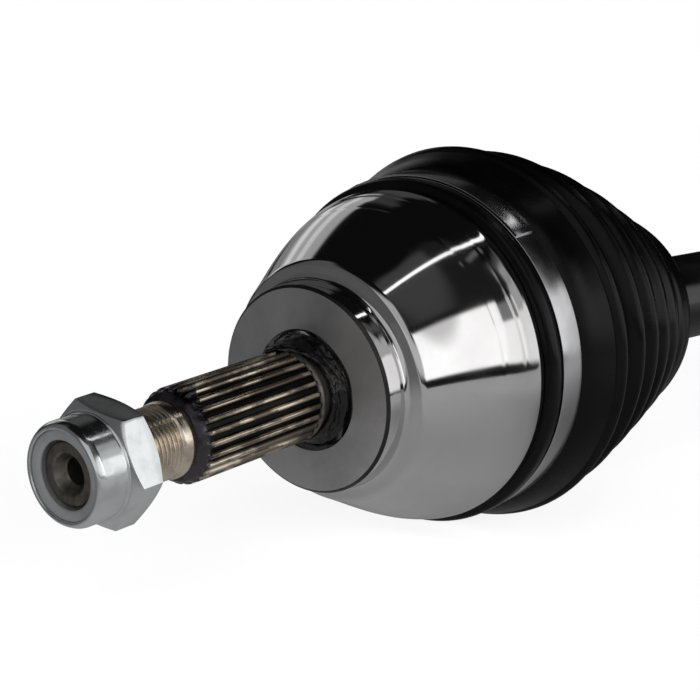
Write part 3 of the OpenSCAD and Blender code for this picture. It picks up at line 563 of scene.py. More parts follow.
# %% Make the wheel-side spline
hub_stations = [(JOINT_DEPTH + 7.2, 12.5, 11.9), (JOINT_DEPTH + 7.9, 13.1, 11.9)]
hub_stations += [(JOINT_DEPTH + 9 + i * 1.75, 13.1, 11.9) for i in range(24)]
hub_stations += [(JOINT_DEPTH + 50.4, 13.1, 11.9), (JOINT_DEPTH + 51.1, 12.95, 12.2), (JOINT_DEPTH + 51.7, 12.65, 12.45),
                 (JOINT_DEPTH + 52.3, 12.25, 12.2), (JOINT_DEPTH + 53.0, 11.7, 11.7), (JOINT_DEPTH + 53.7, 10.95, 10.95),
                 (JOINT_DEPTH + 54.1, 10.15, 10.15)]
bm = splined_bar(hub_stations, 25, 13.1, 1.15)
# the teeth's outer end takes the darker finish, reaching further along on top
for f in bm.faces:
    c = f.calc_center_median()
    on_top = max(0.0, math.cos(math.atan2(c.y, c.z) + 0.3)) ** 2
    edge = 50.9 - 6.5 * on_top * (0.6 + noise.noise(c * 0.5)) - 2.0 * abs(noise.noise(c * 1.1))
    f.material_index = 1 if c.x > JOINT_DEPTH + edge else 0
spline = piece("hub_spline", bm, ON_WHEEL_END, "wheel_end", "polished_steel", SPLINE_STEEL, DARKER_SPLINE_END, smooth=50)

# %% [markdown]
# Between the teeth and the face lie a bright turned ring, a narrow groove and then the fillet, which is black with
# grease. Grease has no clean outline: it piles up on top of the stub and runs down on one side. The ring is spun, and
# then each point is moved by a little noise and drawn out over the teeth where the grease lies thickest.

# %% Make the turned ring behind the teeth
root = [(JOINT_DEPTH - 0.6, 11.0), (JOINT_DEPTH - 0.6, 12.2), (JOINT_DEPTH + 5.6, 12.2), (JOINT_DEPTH + 5.8, 12.7),
        (JOINT_DEPTH + 6.2, 12.95), (JOINT_DEPTH + 6.9, 12.95), (JOINT_DEPTH + 7.4, 12.6), (JOINT_DEPTH + 7.6, 12.2),
        (JOINT_DEPTH + 7.6, 11.0)]
stub_root = piece("stub_root_ring", spun(rounded(root, 0.2), steps=96), ON_WHEEL_END, "wheel_end", "polished_steel",
                  END_STEEL)

# %% Make the greasy fillet
def grease_spread(angle):
    """How far the grease is drawn out over the teeth: most on top, a little at the lower right."""
    on_top = math.exp(-((math.degrees(angle) + 15) / 38) ** 2)
    below = math.exp(-((math.degrees(angle) - 150) / 32) ** 2)
    return 1 + 1.7 * on_top + 0.55 * below

bead = [(-0.6, 12.0), (-0.6, 15.4), (0.02, 15.2), (0.35, 14.8), (0.8, 14.35), (1.3, 14.05), (1.9, 13.85), (2.5, 13.7),
        (3.0, 13.55), (3.4, 13.2), (3.5, 12.7), (3.5, 12.0)]
bm = spun(rounded(bead, 0.3, steps=2), steps=144)
bmesh.ops.subdivide_edges(bm, edges=[e for e in bm.edges if abs(e.verts[0].co.x - e.verts[1].co.x) > 0.4], cuts=1)
for v in bm.verts:
    r, angle = math.hypot(v.co.y, v.co.z), math.atan2(v.co.y, v.co.z)
    if r > 12.1:
        wild = noise.noise(Vector((v.co.x * 1.2, v.co.y * 0.7, v.co.z * 0.7)))
        wild += 0.6 * noise.noise(Vector((v.co.x * 2.0, v.co.y * 1.7, v.co.z * 1.7)))
        spread = grease_spread(angle)
        grown = r + 0.35 * wild + 0.5 * (spread - 1)
        v.co = Vector((v.co.x * (spread if v.co.x > 0 else 1) + 0.3 * max(0.0, wild), v.co.y * grown / r,
                       v.co.z * grown / r))
bm.transform(Matrix.Translation((JOINT_DEPTH, 0, 0)))
bmesh.ops.recalc_face_normals(bm, faces=bm.faces)
fillet_ring = piece("stub_fillet", bm, ON_WHEEL_END, "wheel_end", "polished_steel", GREASE, smooth=80)

# %% [markdown]
# A thread is one ridge wound round the stub. The spin operator moves a little along the axis at each step, so one
# pitch of the outline becomes the whole thread. Past both ends it is cut off flat with a plane.

# %% Wind the thread
THREAD_R, PITCH = 10.0, 1.5


def wound_thread(x0, x1, radius, depth):
    steps = 48
    turns = math.ceil((x1 - x0) / PITCH) + 2
    ridge = [(0.0, radius - depth), (0.12, radius - depth), (0.62, radius - 0.05), (0.88, radius - 0.05),
             (1.38, radius - depth), (1.5, radius - depth)]
    bm = bmesh.new()
    verts = [bm.verts.new((x0 - PITCH + x, 0, r)) for x, r in ridge]
    edges = [bm.edges.new(pair) for pair in zip(verts, verts[1:])]
    bmesh.ops.spin(bm, geom=verts + edges, cent=(0, 0, 0), axis=(1, 0, 0), dvec=(PITCH / steps, 0, 0),
                   angle=math.tau * turns, steps=steps * turns)
    bmesh.ops.remove_doubles(bm, verts=bm.verts, dist=0.004)
    for x, way in ((x0, -1), (x1, 1)):
        bmesh.ops.bisect_plane(bm, geom=bm.verts[:] + bm.edges[:] + bm.faces[:], dist=1e-5, plane_co=(x, 0, 0),
                               plane_no=(way, 0, 0), clear_outer=True)
    return bm


def chamfer_ends(bm, start, end, top, slope):
    """Holds the thread down to a cone at its end."""
    for v in bm.verts:
        r = math.hypot(v.co.y, v.co.z)
        limit = top + (end - v.co.x) * slope
        if v.co.x > start and r > limit:
            v.co.y *= limit / r
            v.co.z *= limit / r

THREAD_START, STUB_END = JOINT_DEPTH + 57.8, JOINT_DEPTH + 88.6
bm = wound_thread(THREAD_START, STUB_END - 0.25, THREAD_R, 0.85)
chamfer_ends(bm, STUB_END - 2.2, STUB_END, THREAD_R - 1.8, 0.85)
bmesh.ops.recalc_face_normals(bm, faces=bm.faces)
for f in bm.faces:
    c = f.calc_center_median()
    if f.normal.dot(Vector((0, c.y, c.z))) < 0:
        f.normal_flip()
thread = piece("stub_thread", bm, ON_WHEEL_END, "wheel_end", "polished_steel", THREAD_STEEL, smooth=20)

# %% [markdown]
# Inside the thread and the relief groove runs the plain core of the stub, which also carries the end face with its
# centre hole, where the lathe's point held the forging.

# %% Make the stub's core and its end
core = [(JOINT_DEPTH - 0.6, 0.0), (JOINT_DEPTH - 0.6, 11.0), (JOINT_DEPTH + 53.6, 11.0), (JOINT_DEPTH + 53.9, 10.0),
        (JOINT_DEPTH + 54.3, 10.15), (JOINT_DEPTH + 55.0, 10.4), (JOINT_DEPTH + 56.0, 10.35), (JOINT_DEPTH + 57.2, 10.1),
        (JOINT_DEPTH + 57.9, 9.6), (JOINT_DEPTH + 58.2, 9.1), (STUB_END - 0.9, 8.98), (STUB_END, 8.1), (STUB_END, 5.7),
        (STUB_END - 0.5, 5.2), (STUB_END - 2.6, 3.9), (STUB_END - 3.0, 3.5), (STUB_END - 8.0, 3.4),
        (STUB_END - 9.2, 0.0)]
bm = spun(rounded(core, 0.3), steps=96)
paint_by_place(bm, lambda x, r: 1 if x > STUB_END - 9 and r < 8.9 else 0)
stub_core = piece("stub_core", bm, ON_WHEEL_END, "wheel_end", "polished_steel", THREAD_STEEL, END_STEEL)

# %% [markdown]
# ## The hub nut
#
# A hexagon with a round collar, zinc plated. Its two hexagon edges are turned to a cone, which leaves the curved
# arcs that every real nut has. They come out exactly when the ring of points between cone and flat is placed where
# the two surfaces meet, so the nut is drawn out of one circle in four steps.

# %% Draw the hexagon out of a circle
NUT_START, HEX_LEN, FLATS, COLLAR_R, COLLAR_LEN = JOINT_DEPTH + 71.4, 9.7, 30.0, 13.8, 9.8
NUT_TURN = 12.6                             # where the nut stopped when it was run on, in degrees


def hexagon_with_arcs(x0, x1, flats, bore):
    per_side = 24
    bm = bmesh.new()
    ring = bmesh.ops.create_circle(bm, cap_ends=False, segments=6 * per_side, radius=1.0)["verts"]
    bmesh.ops.rotate(bm, verts=bm.verts, cent=(0, 0, 0), matrix=Matrix.Rotation(math.pi / 2, 3, "Y"))
    edges = list(bm.edges)

    def reach(a):
        return flats / 2 / math.cos((a + math.pi / 6) % (math.pi / 3) - math.pi / 6)
    chamfer_r, slope = flats / 2 - 0.5, math.tan(math.radians(30))
    rows = [lambda a: (x0, bore), lambda a: (x0, chamfer_r - 0.3), lambda a: (x0, chamfer_r),
            lambda a: (x0 + (reach(a) - chamfer_r) * slope, reach(a)),
            lambda a: (x1 - (reach(a) - chamfer_r) * slope, reach(a)), lambda a: (x1, chamfer_r),
            lambda a: (x1, chamfer_r - 0.3), lambda a: (x1, bore)]

    def shape(verts, row):
        for v in verts:
            a = math.atan2(v.co.y, v.co.z)
            x, r = row(a)
            v.co = Vector((x, r * math.sin(a), r * math.cos(a)))
    shape(ring, rows[0])
    for row in rows[1:]:
        out = bmesh.ops.extrude_edge_only(bm, edges=edges)["geom"]
        verts = [g for g in out if isinstance(g, bmesh.types.BMVert)]
        fresh = set(verts)
        edges = [g for g in out if isinstance(g, bmesh.types.BMEdge) and all(v in fresh for v in g.verts)]
        shape(verts, row)
    return bm

bm = hexagon_with_arcs(NUT_START, NUT_START + HEX_LEN, FLATS, 10.05)
first_ring = [e for e in bm.edges if e.is_boundary and e.verts[0].co.x < NUT_START + 1]
last_ring = [e for e in bm.edges if e.is_boundary and e.verts[0].co.x > NUT_START + 1]
bmesh.ops.bridge_loops(bm, edges=first_ring + last_ring)
bmesh.ops.recalc_face_normals(bm, faces=bm.faces)
soften(bm, 0.14, angle=24)
bmesh.ops.rotate(bm, verts=bm.verts, cent=(0, 0, 0), matrix=Matrix.Rotation(math.radians(-NUT_TURN), 3, "X"))
hexagon = piece("hub_nut_hexagon", bm, ON_WHEEL_END, "wheel_end", "zinc_steel", ZINC, stands_for=("hub_nut",),
                smooth=24)

# %% Make the nut's collar and the nylon ring in it
COLLAR_END = NUT_START + HEX_LEN + COLLAR_LEN
collar = [(NUT_START + HEX_LEN - 0.3, 10.05), (NUT_START + HEX_LEN - 0.3, 14.3), (NUT_START + HEX_LEN + 0.1, 14.3),
          (NUT_START + HEX_LEN + 0.6, COLLAR_R), (COLLAR_END - 2.2, COLLAR_R), (COLLAR_END - 0.7, COLLAR_R - 0.7),
          (COLLAR_END - 0.1, COLLAR_R - 1.3), (COLLAR_END - 0.25, 11.85), (COLLAR_END - 0.8, 11.7),
          (COLLAR_END - 1.3, 11.8), (COLLAR_END - 1.3, 12.1), (COLLAR_END - 6.8, 12.1), (COLLAR_END - 6.8, 10.05)]
bm = spun(rounded(collar, 0.5), steps=96)
nut_collar = piece("hub_nut_collar", bm, ON_WHEEL_END, "wheel_end", "zinc_steel", ZINC)
insert = [(COLLAR_END - 6.75, 10.06), (COLLAR_END - 6.75, 12.05), (COLLAR_END - 1.36, 12.05),
          (COLLAR_END - 1.2, 11.75), (COLLAR_END - 0.85, 11.6), (COLLAR_END - 0.75, 10.7), (COLLAR_END - 0.85, 9.7),
          (COLLAR_END - 1.15, 9.1), (COLLAR_END - 1.6, 8.95), (COLLAR_END - 2.0, 9.1), (COLLAR_END - 2.2, 10.06)]
bm = spun(rounded(insert + insert[:1], 0.25)[:-1], steps=96)
nylon_ring = piece("nylon_ring", bm, ON_WHEEL_END, "wheel_end", "nylon", NYLON, stands_for=("nut_insert",))

# %% [markdown]
# ## The wheel-side boot
#
# The boot is moulded rubber: a lip with a bead on each side of its band, folds that get smaller towards the bar,
# and a neck. Its wall is about 2 mm thick. The folds could be tori joined together, but the real outline is one
# wave with broad crowns and narrow valleys, so it is drawn as a power of a cosine and spun. The rest bend is then
# shared out along it, which keeps each fold round. Because it is soft, it blends between the wheel end and the bar.

# %% The outline of a fold and the boot's bend
FIRST_CROWN, PITCH_OF_FOLDS, FOLDS = 75.6, 14.3, 6
SEAT_R = 46.9


def crown(share, first=57.3, last=34.8):
    return first - (first - last) * share ** 1.3


def fold_radius(k, folds, first, last, deep, shallow, sharp=1.0):
    """Radius at k folds after the first crown; the valleys get shallower towards the neck."""
    share = min(1, max(0, k / (folds - 1)))
    wave = ((1 - math.cos(math.tau * k)) / 2) ** sharp
    return crown(share, first, last) - (shallow + (deep - shallow) * (1 - share) ** 2) * wave


def outer_fold(k):
    return fold_radius(k, FOLDS, 57.3, 34.8, 10.0, 1.8, 1.25)


def outer_boot_outline():
    lip_r = SEAT_R + 0.15 + 3.4
    out = [(46.55, 47.1), (46.55, 50.6), (46.9, 51.2), (47.6, 51.6), (50.3, 51.7), (51.0, 51.3), (51.45, 50.5),
           (61.1, 50.5), (61.5, 51.2), (62.2, 51.9), (63.6, 52.9), (65.6, 54.0), (68.5, 55.1), (71.5, 56.1)]
    for i in range(-4, 16 * (FOLDS - 1) + 7):
        k = i / 16
        out.append((FIRST_CROWN + k * PITCH_OF_FOLDS, outer_fold(k)))
    neck_r = 13.2 + 0.15 + 2.4
    out += [(NECK_DEPTH, 17.4), (NECK_DEPTH + 0.5, neck_r + 1.1), (NECK_DEPTH + 2.2, neck_r + 1.1),
            (NECK_DEPTH + 3.0, neck_r), (NECK_DEPTH + 11.6, neck_r), (NECK_DEPTH + 12.4, neck_r + 1.1),
            (NECK_DEPTH + 14.3, neck_r + 1.1), (NECK_DEPTH + 15.0, neck_r + 0.5), (NECK_DEPTH + 15.0, 13.35),
            (NECK_DEPTH + 1.5, 13.35)]
    for i in range(12 * (FOLDS - 1), -1, -1):
        k = i / 12
        out.append((FIRST_CROWN + k * PITCH_OF_FOLDS, outer_fold(k) - 2.2))
    return out + [(67.0, 51.6), (63.5, 49.8), (62.2, 47.3), (61.5, 47.05)]

print("boot outline:", len(outer_boot_outline()), "points")


def bend_share(depth):
    t = min(1.0, max(0.0, (depth - MOUTH_DEPTH) / (NECK_DEPTH - MOUTH_DEPTH)))
    return 1 - t * t * (3 - 2 * t)


def bend_into_place(bm):
    """Turns each ring by its share of the rest bend about the ball joint's centre."""
    for v in bm.verts:
        depth = JOINT_DEPTH - v.co.x
        a = REST_BEND * bend_share(depth)
        v.co = Vector((OUTER_X + v.co.x * math.cos(a) + v.co.z * math.sin(a), v.co.y,
                       v.co.z * math.cos(a) - v.co.x * math.sin(a)))

# %% Make the wheel-side boot
bm = spun([at_depth(d, r) for d, r in outer_boot_outline()], steps=144)
bend_into_place(bm)
outer_boot = piece("outer_boot", bm, ON_BAR, None, "black_rubber", RUBBER, stands_for=("outer_boot",), smooth=60)
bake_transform(outer_boot)

# %% [markdown]
# ## The band clamps
#
# A band clamp is a steel strip whose ends overlap and hook into each other. The strip is spun nearly all round, a
# second layer of it lies over the first for a short way, and the hook is a small raised step with rounded edges.

# %% Make a band clamp
def band_clamp(x0, width, radius, thick=0.9, overlap=75.0, start=-180.0, hook_width=0.5, hook_height=1.6):
    """A strip round X, its overlapping end and its hook. start turns it round the line, in degrees."""
    edge = rounded([(x0, radius + thick * 0.5), (x0, radius + thick), (x0 + width, radius + thick),
                    (x0 + width, radius + thick * 0.5)], 0.25)
    bm = spun([(x0, radius)] + edge + [(x0 + width, radius)], steps=144)
    made = [bm]
    lap = spun([(x0 + 0.15, radius + thick * 0.8), (x0 + 0.15, radius + 2 * thick),
                (x0 + width - 0.15, radius + 2 * thick), (x0 + width - 0.15, radius + thick * 0.8)], steps=30,
               angle=math.radians(overlap))
    bmesh.ops.holes_fill(lap, edges=[e for e in lap.edges if e.is_boundary], sides=0)
    bmesh.ops.recalc_face_normals(lap, faces=lap.faces)
    soften(lap, 0.2, angle=40)
    made.append(lap)
    hook_angle = width * hook_width / radius
    hook = spun([(x0 + width * (1 - hook_width) / 2, radius + thick), (x0 + width * (1 - hook_width) / 2,
                 radius + thick * 2 + hook_height), (x0 + width * (1 + hook_width) / 2, radius + thick * 2 + hook_height),
                 (x0 + width * (1 + hook_width) / 2, radius + thick)], steps=6, angle=hook_angle)
    bmesh.ops.holes_fill(hook, edges=[e for e in hook.edges if e.is_boundary], sides=0)
    bmesh.ops.recalc_face_normals(hook, faces=hook.faces)
    bmesh.ops.rotate(hook, verts=hook.verts, cent=(0, 0, 0),
                     matrix=Matrix.Rotation(math.radians(overlap) - hook_angle, 3, "X"))
    soften(hook, 0.35, angle=40)
    made.append(hook)
    whole = bmesh.new()
    for part in made:
        mesh = bpy.data.meshes.new("part")
        part.to_mesh(mesh)
        part.free()
        whole.from_mesh(mesh)
        bpy.data.meshes.remove(mesh)
    bmesh.ops.rotate(whole, verts=whole.verts, cent=(0, 0, 0), matrix=Matrix.Rotation(math.radians(start), 3, "X"))
    return whole

bm = band_clamp(JOINT_DEPTH - 61.35 + 0.4, 9.0, 50.55, start=-45, hook_height=0.5)
large_clamp = piece("outer_boot_large_clamp", bm, ON_WHEEL_END, "wheel_end", "band_steel", BAND_STEEL,
                    stands_for=("outer_boot_large_clamp",))
bm = band_clamp(JOINT_DEPTH - NECK_DEPTH - 11.0, 7.0, 15.8)
small_clamp = piece("outer_boot_small_clamp", bm, AT_BALL_JOINT, "half_shaft", "band_steel", BAND_STEEL,
                    stands_for=("outer_boot_small_clamp",))

# %% [markdown]
# ## The bar
#
# The bar is a plain black bar that thins behind each joint, with two small ridges beside each boot's neck. It is
# turned in one outline. The ends that sit in the race and the spider are hidden, and stay as the solid has them.

# %% Make the bar
NECK_X = OUTER_X + JOINT_DEPTH - NECK_DEPTH
INNER_NECK_X, INNER_NECK_END = 142.3697, 157.3697


def bar_outline():
    right = OUTER_X - 13 - 0.9
    return [(INNER_X - 11.55 - 1.6 - 2.35, 0), (INNER_X - 15.4, 10.0), (INNER_X - 14.6, 10.8),
            (INNER_X + 11.5, 10.8), (INNER_X + 11.6, 13.2), (INNER_X + 13.1, 13.2), (INNER_X + 16.5, 10.4),
            (INNER_X + 62, 10.4), (INNER_X + 67, 12.6), (INNER_NECK_END + 0.2, 12.6), (INNER_NECK_END + 0.2, 13.1),
            (INNER_NECK_END + 1.6, 13.1), (INNER_NECK_END + 1.7, 12.6), (INNER_NECK_END + 7, 14.8),
            (NECK_X - 15 - 6.7, 14.8), (NECK_X - 15 - 1.7, 13.2), (NECK_X - 15 - 1.6, 13.7), (NECK_X - 15 - 0.2, 13.7),
            (NECK_X - 15 - 0.15, 13.2), (NECK_X + 5, 13.2), (OUTER_X - 63, 13.2), (OUTER_X - 58, 11.5),
            (OUTER_X - 18, 11.5), (OUTER_X - 14.7, 14.0), (OUTER_X - 13.1, 14.0), (OUTER_X - 13, 12.5),
            (OUTER_X + 16.4, 12.5), (OUTER_X + 17.2, 11.7), (OUTER_X + 17.25, 0)]

bm = spun(rounded(bar_outline(), 0.8), steps=96, closed=False)
bar = piece("bar", bm, ON_BAR, "half_shaft", "black_paint", BAR_PAINT, stands_for=("bar",))

# %% [markdown]
# ## The gearbox end
#
# The second joint's housing has three lobes over its tracks. Its shape in the solid is right, so its solid stays and
# gets a forged finish. The boot there crosses two joints, so it is made in two pieces that meet at a valley.

# %% Make the gearbox-side boot in two halves
TULIP_MOUTH = 77.3697
I_FIRST, I_PITCH, I_FOLDS = TULIP_MOUTH + 6.5, 13.0, 5
SPLIT_K = 1.5


def inner_fold(k):
    return fold_radius(k, I_FOLDS, 42.0, 26.0, 9.0, 4.5, 1.2)


def inner_boot_halves():
    band = TULIP_MOUTH - 9.0 - 2.6
    near = [(band - 1.4, 40.2), (band - 1.4, 43.6), (band - 1.1, 44.2), (band - 0.5, 44.2), (band - 0.1, 43.15),
            (band + 9.1, 43.15), (band + 9.5, 44.2), (band + 10.3, 44.3), (band + 11.6, 43.6)]
    near += [(I_FIRST + i / 16 * I_PITCH, inner_fold(i / 16)) for i in range(-3, int(16 * SPLIT_K) + 1)]
    near += [(I_FIRST + i / 16 * I_PITCH, inner_fold(i / 16) - 2.2) for i in range(int(16 * SPLIT_K), -1, -1)]
    near += [(TULIP_MOUTH + 1.0, 40.2)]
    neck = 12.6 + 0.15 + 2.4
    far = [(I_FIRST + i / 16 * I_PITCH, inner_fold(i / 16)) for i in range(int(16 * SPLIT_K), 16 * (I_FOLDS - 1) + 7)]
    far += [(INNER_NECK_X, neck + 1.6), (INNER_NECK_X + 0.4, neck + 1.1), (INNER_NECK_X + 2.2, neck + 1.1),
            (INNER_NECK_X + 3.0, neck), (INNER_NECK_X + 11.6, neck), (INNER_NECK_X + 12.4, neck + 1.1),
            (INNER_NECK_X + 14.4, neck + 1.1), (INNER_NECK_X + 15.0, neck + 0.5), (INNER_NECK_X + 15.0, 12.75),
            (INNER_NECK_X + 1.5, 12.75)]
    far += [(I_FIRST + i / 16 * I_PITCH, inner_fold(i / 16) - 2.2)
            for i in range(16 * (I_FOLDS - 1), int(16 * SPLIT_K) - 1, -1)]
    return near, far

near, far = inner_boot_halves()
near_half = piece("inner_boot_lip_half", spun(near, steps=112), ON_BAR, None, "black_rubber", RUBBER,
                  stands_for=("inner_boot",), smooth=60)
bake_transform(near_half)
far_half = piece("inner_boot_neck_half", spun(far, steps=112), ON_BAR, None, "black_rubber", RUBBER,
                 stands_for=("inner_boot",), smooth=60)
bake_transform(far_half)

# %% Make the gearbox-side clamps
bm = band_clamp(TULIP_MOUTH - 11.6, 9.0, 43.2)
inner_large = piece("inner_boot_large_clamp", bm, ON_BAR, "gearbox_end", "band_steel", BAND_STEEL,
                    stands_for=("inner_boot_large_clamp",))
bm = band_clamp(INNER_NECK_X + 4.0, 7.0, 15.2)
inner_small = piece("inner_boot_small_clamp", bm, ON_BAR, "half_shaft", "band_steel", BAND_STEEL,
                    stands_for=("inner_boot_small_clamp",))

# %% [markdown]
# ## The parts that keep their solids
#
# Balls, cage, race, spider, rollers, needles and rings are ground or stamped parts whose solids are right. They are
# hidden while the boots are on, and only get their finishes.

# %% Give the remaining solids their finishes
SOLID_FINISHES = {"inner_housing": HOUSING_STEEL, "spider": FORGED, "cage": CAGE_STEEL, "inner_race": CAGE_STEEL}
for name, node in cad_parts.items():
    finish = SOLID_FINISHES.get(name)
    if finish is None:
        finish = BEARING_STEEL if name.startswith(("ball", "roller", "needles")) else SPRING_STEEL
    if not node.hide_render:
        node.data.materials.clear()
        node.data.materials.append(finish)
print("solids kept:", sorted(n for n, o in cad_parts.items() if not o.hide_render))

# %% [markdown]
# ## The table and the studio
#
# The photograph has no visible table and a white sheet behind. Polished steel shows nothing but what it mirrors, so
# the studio has to be right: dark air above, a pale table below, a large soft box on the right made of panes side by
# side, a narrow one on the left and one thin tube across the ceiling. Lamps could be set up one by one, but a soft
# box far away is only a patch of directions. So the world holds them as patches of azimuth and elevation, in degrees
# as a photographer would plot them, and their edges stay as crisp as they are in the steel.

# %% Make the table
def math_node(nodes, operation, a=None, b=None, c=None):
    """A Math node with its constants set on it; a socket instead of a number becomes a link."""
    made = nodes.new("ShaderNodeMath"); made.operation = operation
    for i, value in enumerate((a, b, c)):
        if isinstance(value, (int, float)):
            made.inputs[i].default_value = value
        elif value is not None:
            made.id_data.links.new(value, made.inputs[i])
    return made.outputs[0]


def make_table():
    """A pale table that ends on the right, where the foot of the soft box stands. Its glow for rays other than the
    camera's is painted light: one pool towards the soft box and one below the hub nut.
    """
    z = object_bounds()[0].z - 0.0005
    bm = bmesh.new()
    corners = [bm.verts.new((x, y, z)) for x, y in ((-6.0, -6.0), (6.0, -6.0), (6.0, 0.375), (-6.0, 0.375))]
    bm.faces.new(corners)
    mesh = bpy.data.meshes.new("table")
    bm.to_mesh(mesh)
    bm.free()
    table = bpy.data.objects.new("table", mesh)
    scene.collection.objects.link(table)
    table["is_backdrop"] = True
    material = bpy.data.materials.new("pale_table")
    material.use_nodes = True
    nodes, links = material.node_tree.nodes, material.node_tree.links
    shader = nodes["Principled BSDF"]
    shader.inputs["Base Color"].default_value = (0.86, 0.86, 0.87, 1)
    shader.inputs["Roughness"].default_value = 0.9
    shader.inputs["Specular IOR Level"].default_value = 0.0
    path = nodes.new("ShaderNodeLightPath")
    place = nodes.new("ShaderNodeTexCoord")
    split = nodes.new("ShaderNodeSeparateXYZ")
    # painted light: a pool on the table towards the soft box, glowing only for rays other than the camera's
    painted_spill_from_box = nodes.new("ShaderNodeMapRange"); painted_spill_from_box.interpolation_type = "SMOOTHSTEP"
    painted_spill_from_box.inputs["From Min"].default_value, painted_spill_from_box.inputs["From Max"].default_value = 0.05, 0.22
    painted_spill_from_box.inputs["To Max"].default_value = 0.28
    # painted light: a pool on the table below the hub nut, seen in the nut's reflection
    under_hub = nodes.new("ShaderNodeVectorMath"); under_hub.operation = "DISTANCE"
    under_hub.inputs[1].default_value = (0.49, 0.03, z)
    painted_light_under_hub = nodes.new("ShaderNodeMapRange"); painted_light_under_hub.interpolation_type = "SMOOTHSTEP"
    painted_light_under_hub.inputs["From Min"].default_value, painted_light_under_hub.inputs["From Max"].default_value = 0.18, 0.08
    painted_light_under_hub.inputs["To Max"].default_value = 0.15
    mix = nodes.new("ShaderNodeMix")
    mix.inputs["B"].default_value = 0.86
    links.new(place.outputs["Object"], split.inputs[0])
    links.new(split.outputs["Y"], painted_spill_from_box.inputs["Value"])
    links.new(path.outputs["Is Camera Ray"], mix.inputs["Factor"])
    links.new(place.outputs["Object"], under_hub.inputs[0])
    links.new(under_hub.outputs["Value"], painted_light_under_hub.inputs["Value"])
    painted_light_pools = math_node(nodes, "ADD", painted_spill_from_box.outputs["Result"], painted_light_under_hub.outputs["Result"])
    links.new(painted_light_pools, mix.inputs["A"])
    shader.inputs["Emission Color"].default_value = (1, 1, 1, 1)
    links.new(mix.outputs["Result"], shader.inputs["Emission Strength"])
    mesh.materials.append(material)
    return table

table = make_table()
print("table at", round(table.data.vertices[0].co.z, 4))

# %% A soft box as a patch of directions
def soft_box_group():
    """1 inside a patch of azimuth and elevation, 0 outside, with a soft edge."""
    group = bpy.data.node_groups.new("soft_box", "ShaderNodeTree")
    for name in ("Azimuth", "Elevation", "From", "To", "Bottom", "Top"):
        socket(group, name)
    socket(group, "Edge", value=1.0)
    socket(group, "Patch", way="OUTPUT")
    nodes, links = group.nodes, group.links
    start, end = nodes.new("NodeGroupInput"), nodes.new("NodeGroupOutput")
    steps = []
    for what, low, high in (("Azimuth", "From", "To"), ("Elevation", "Bottom", "Top")):
        for border, turn in ((low, 1.0), (high, -1.0)):
            past = math_node(nodes, "SUBTRACT", start.outputs[what], start.outputs[border])
            past = math_node(nodes, "DIVIDE", past, start.outputs["Edge"])
            ramp = nodes.new("ShaderNodeMapRange"); ramp.interpolation_type = "SMOOTHSTEP"
            ramp.inputs["From Min"].default_value = -turn
            ramp.inputs["From Max"].default_value = turn
            links.new(past, ramp.inputs["Value"])
            steps.append(ramp.outputs["Result"])
    both = math_node(nodes, "MULTIPLY", steps[0], steps[1])
    both = math_node(nodes, "MULTIPLY", both, steps[2])
    links.new(math_node(nodes, "MULTIPLY", both, steps[3]), end.inputs["Patch"])
    return group

SOFT_BOX = soft_box_group()
print("soft box sockets:", [i.name for i in SOFT_BOX.interface.items_tree])

# %% The soft boxes of the studio, as azimuths, elevations, edge and brightness
SOFT_BOXES = {
    "right pane": (82.0, 96.6, -3.0, 33.0, 1.2, 1.9),
    "right pane, its dim end": (72.0, 82.0, -3.0, 33.0, 2.0, 1.0),
    "middle pane": (96.6, 108.8, -3.5, 20.5, 1.2, 1.65),
    "middle pane, behind cloth": (96.6, 108.8, 20.5, 31.0, 1.5, 0.30),
    "frame between the panes": (108.8, 112.2, -4.5, 33.0, 1.0, 1.25),
    "far pane": (112.2, 141.0, -4.5, 23.0, 2.0, 1.3),
    "far pane, its upper part": (112.2, 141.0, 23.0, 37.0, 2.5, 0.62),
    "far pane, its top": (116.5, 141.0, 37.0, 47.0, 2.5, 0.40),
    "last pane": (141.0, 154.0, -6.0, 21.0, 3.0, 1.15),
    "wall above the panes": (112.0, 152.0, 40.0, 52.0, 3.0, 0.10),
    "wall beside the panes": (60.0, 81.0, 38.0, 82.0, 3.0, 0.06),
    "wall behind the panes": (58.0, 115.0, 36.0, 85.0, 4.0, 0.012),
    "left box": (-127.5, -106.0, 11.5, 38.0, 1.8, 0.55),
    "left box, its lower strip": (-127.5, -106.0, 14.0, 19.0, 1.0, 0.42),
    "left box, its upper strip": (-127.5, -106.0, 24.0, 29.0, 1.0, 0.34),
    "left box, its foot": (-136.5, -130.0, -3.0, 10.0, 1.2, 0.40),
    "left box, its dim foot": (-130.0, -112.0, 3.0, 11.5, 1.2, 0.28),
    "cloth above the left box": (-129.0, -121.0, 36.0, 57.0, 2.5, 0.05),
    "cloth beside the left box": (-152.0, -130.0, 26.0, 50.0, 3.0, 0.075),
    "ceiling edge": (99.0, 124.0, 59.5, 62.5, 1.2, 0.16),
    "sheet above the camera": (6.0, 62.0, 24.0, 58.0, 5.0, 0.62),
    "sheet behind the camera": (-90.0, 8.0, -5.0, 12.0, 5.0, 0.14),
    "dim wall over the camera": (-90.0, 8.0, 12.0, 60.0, 5.0, 0.12),
    "sheet right of the camera": (8.0, 72.0, -3.0, 24.0, 5.0, 0.80),
}
TUBE_PLANE, TUBE_PLACE, TUBE_WIDTH, TUBE_LIGHT = (0.0925, 0.5843, -0.8063), -0.5774, 0.017, 2.0

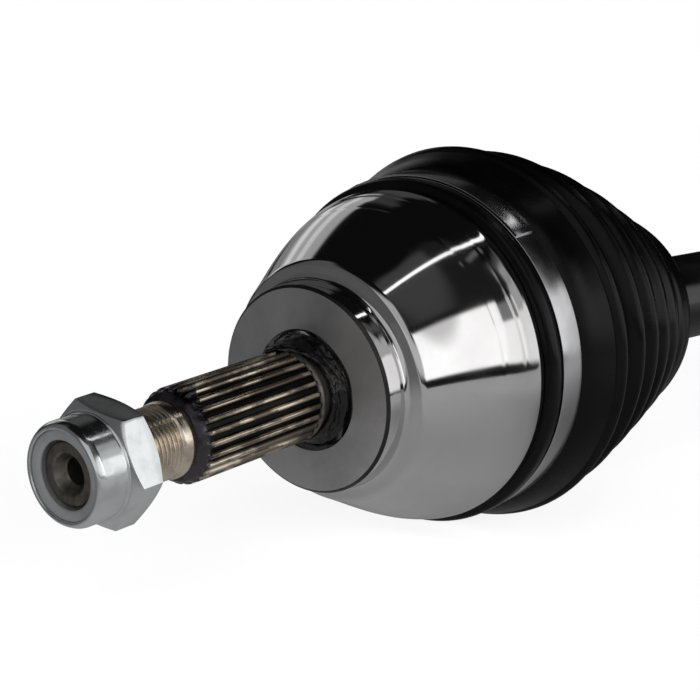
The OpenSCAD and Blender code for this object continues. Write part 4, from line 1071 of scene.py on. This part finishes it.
# %% Make the world
def make_world():
    world = bpy.data.worlds.new("studio")
    world.use_nodes = True
    nodes, links = world.node_tree.nodes, world.node_tree.links
    nodes.clear()
    out = nodes.new("ShaderNodeOutputWorld")
    way = nodes.new("ShaderNodeTexCoord")
    split = nodes.new("ShaderNodeSeparateXYZ")
    links.new(way.outputs["Generated"], split.inputs[0])
    azimuth = math_node(nodes, "DEGREES", math_node(nodes, "ARCTAN2", split.outputs["Y"], split.outputs["X"]))
    elevation = math_node(nodes, "DEGREES", math_node(nodes, "ARCSINE", split.outputs["Z"]))
    light = math_node(nodes, "ADD", 0.006, 0.0)
    for left, right, bottom, top, edge, strength in SOFT_BOXES.values():
        box = nodes.new("ShaderNodeGroup"); box.node_tree = SOFT_BOX
        for name, value in zip(("From", "To", "Bottom", "Top", "Edge"), (left, right, bottom, top, edge)):
            box.inputs[name].default_value = value
        links.new(azimuth, box.inputs["Azimuth"])
        links.new(elevation, box.inputs["Elevation"])
        light = math_node(nodes, "MULTIPLY_ADD", box.outputs["Patch"], strength, light)
    turned = nodes.new("ShaderNodeVectorMath"); turned.operation = "DOT_PRODUCT"
    links.new(way.outputs["Generated"], turned.inputs[0])
    turned.inputs[1].default_value = TUBE_PLANE
    off = math_node(nodes, "ABSOLUTE", math_node(nodes, "SUBTRACT", turned.outputs["Value"], TUBE_PLACE))
    lit = math_node(nodes, "MULTIPLY", math_node(nodes, "LESS_THAN", off, TUBE_WIDTH),
                    math_node(nodes, "GREATER_THAN", azimuth, 66.0))
    lit = math_node(nodes, "MULTIPLY", lit, math_node(nodes, "GREATER_THAN", elevation, 40.0))
    light = math_node(nodes, "MULTIPLY_ADD", lit, TUBE_LIGHT, light)
    studio = nodes.new("ShaderNodeBackground")
    links.new(light, studio.inputs["Strength"])
    sheet = nodes.new("ShaderNodeBackground")
    sheet.inputs["Color"].default_value = (1, 1, 1, 1)
    mix = nodes.new("ShaderNodeMixShader")
    path = nodes.new("ShaderNodeLightPath")
    links.new(path.outputs["Is Camera Ray"], mix.inputs["Fac"])
    links.new(studio.outputs[0], mix.inputs[1])
    links.new(sheet.outputs[0], mix.inputs[2])
    links.new(mix.outputs[0], out.inputs["Surface"])
    scene.world = world
    return world

world = make_world()
print("soft boxes:", len(SOFT_BOXES), "world nodes:", len(world.node_tree.nodes))
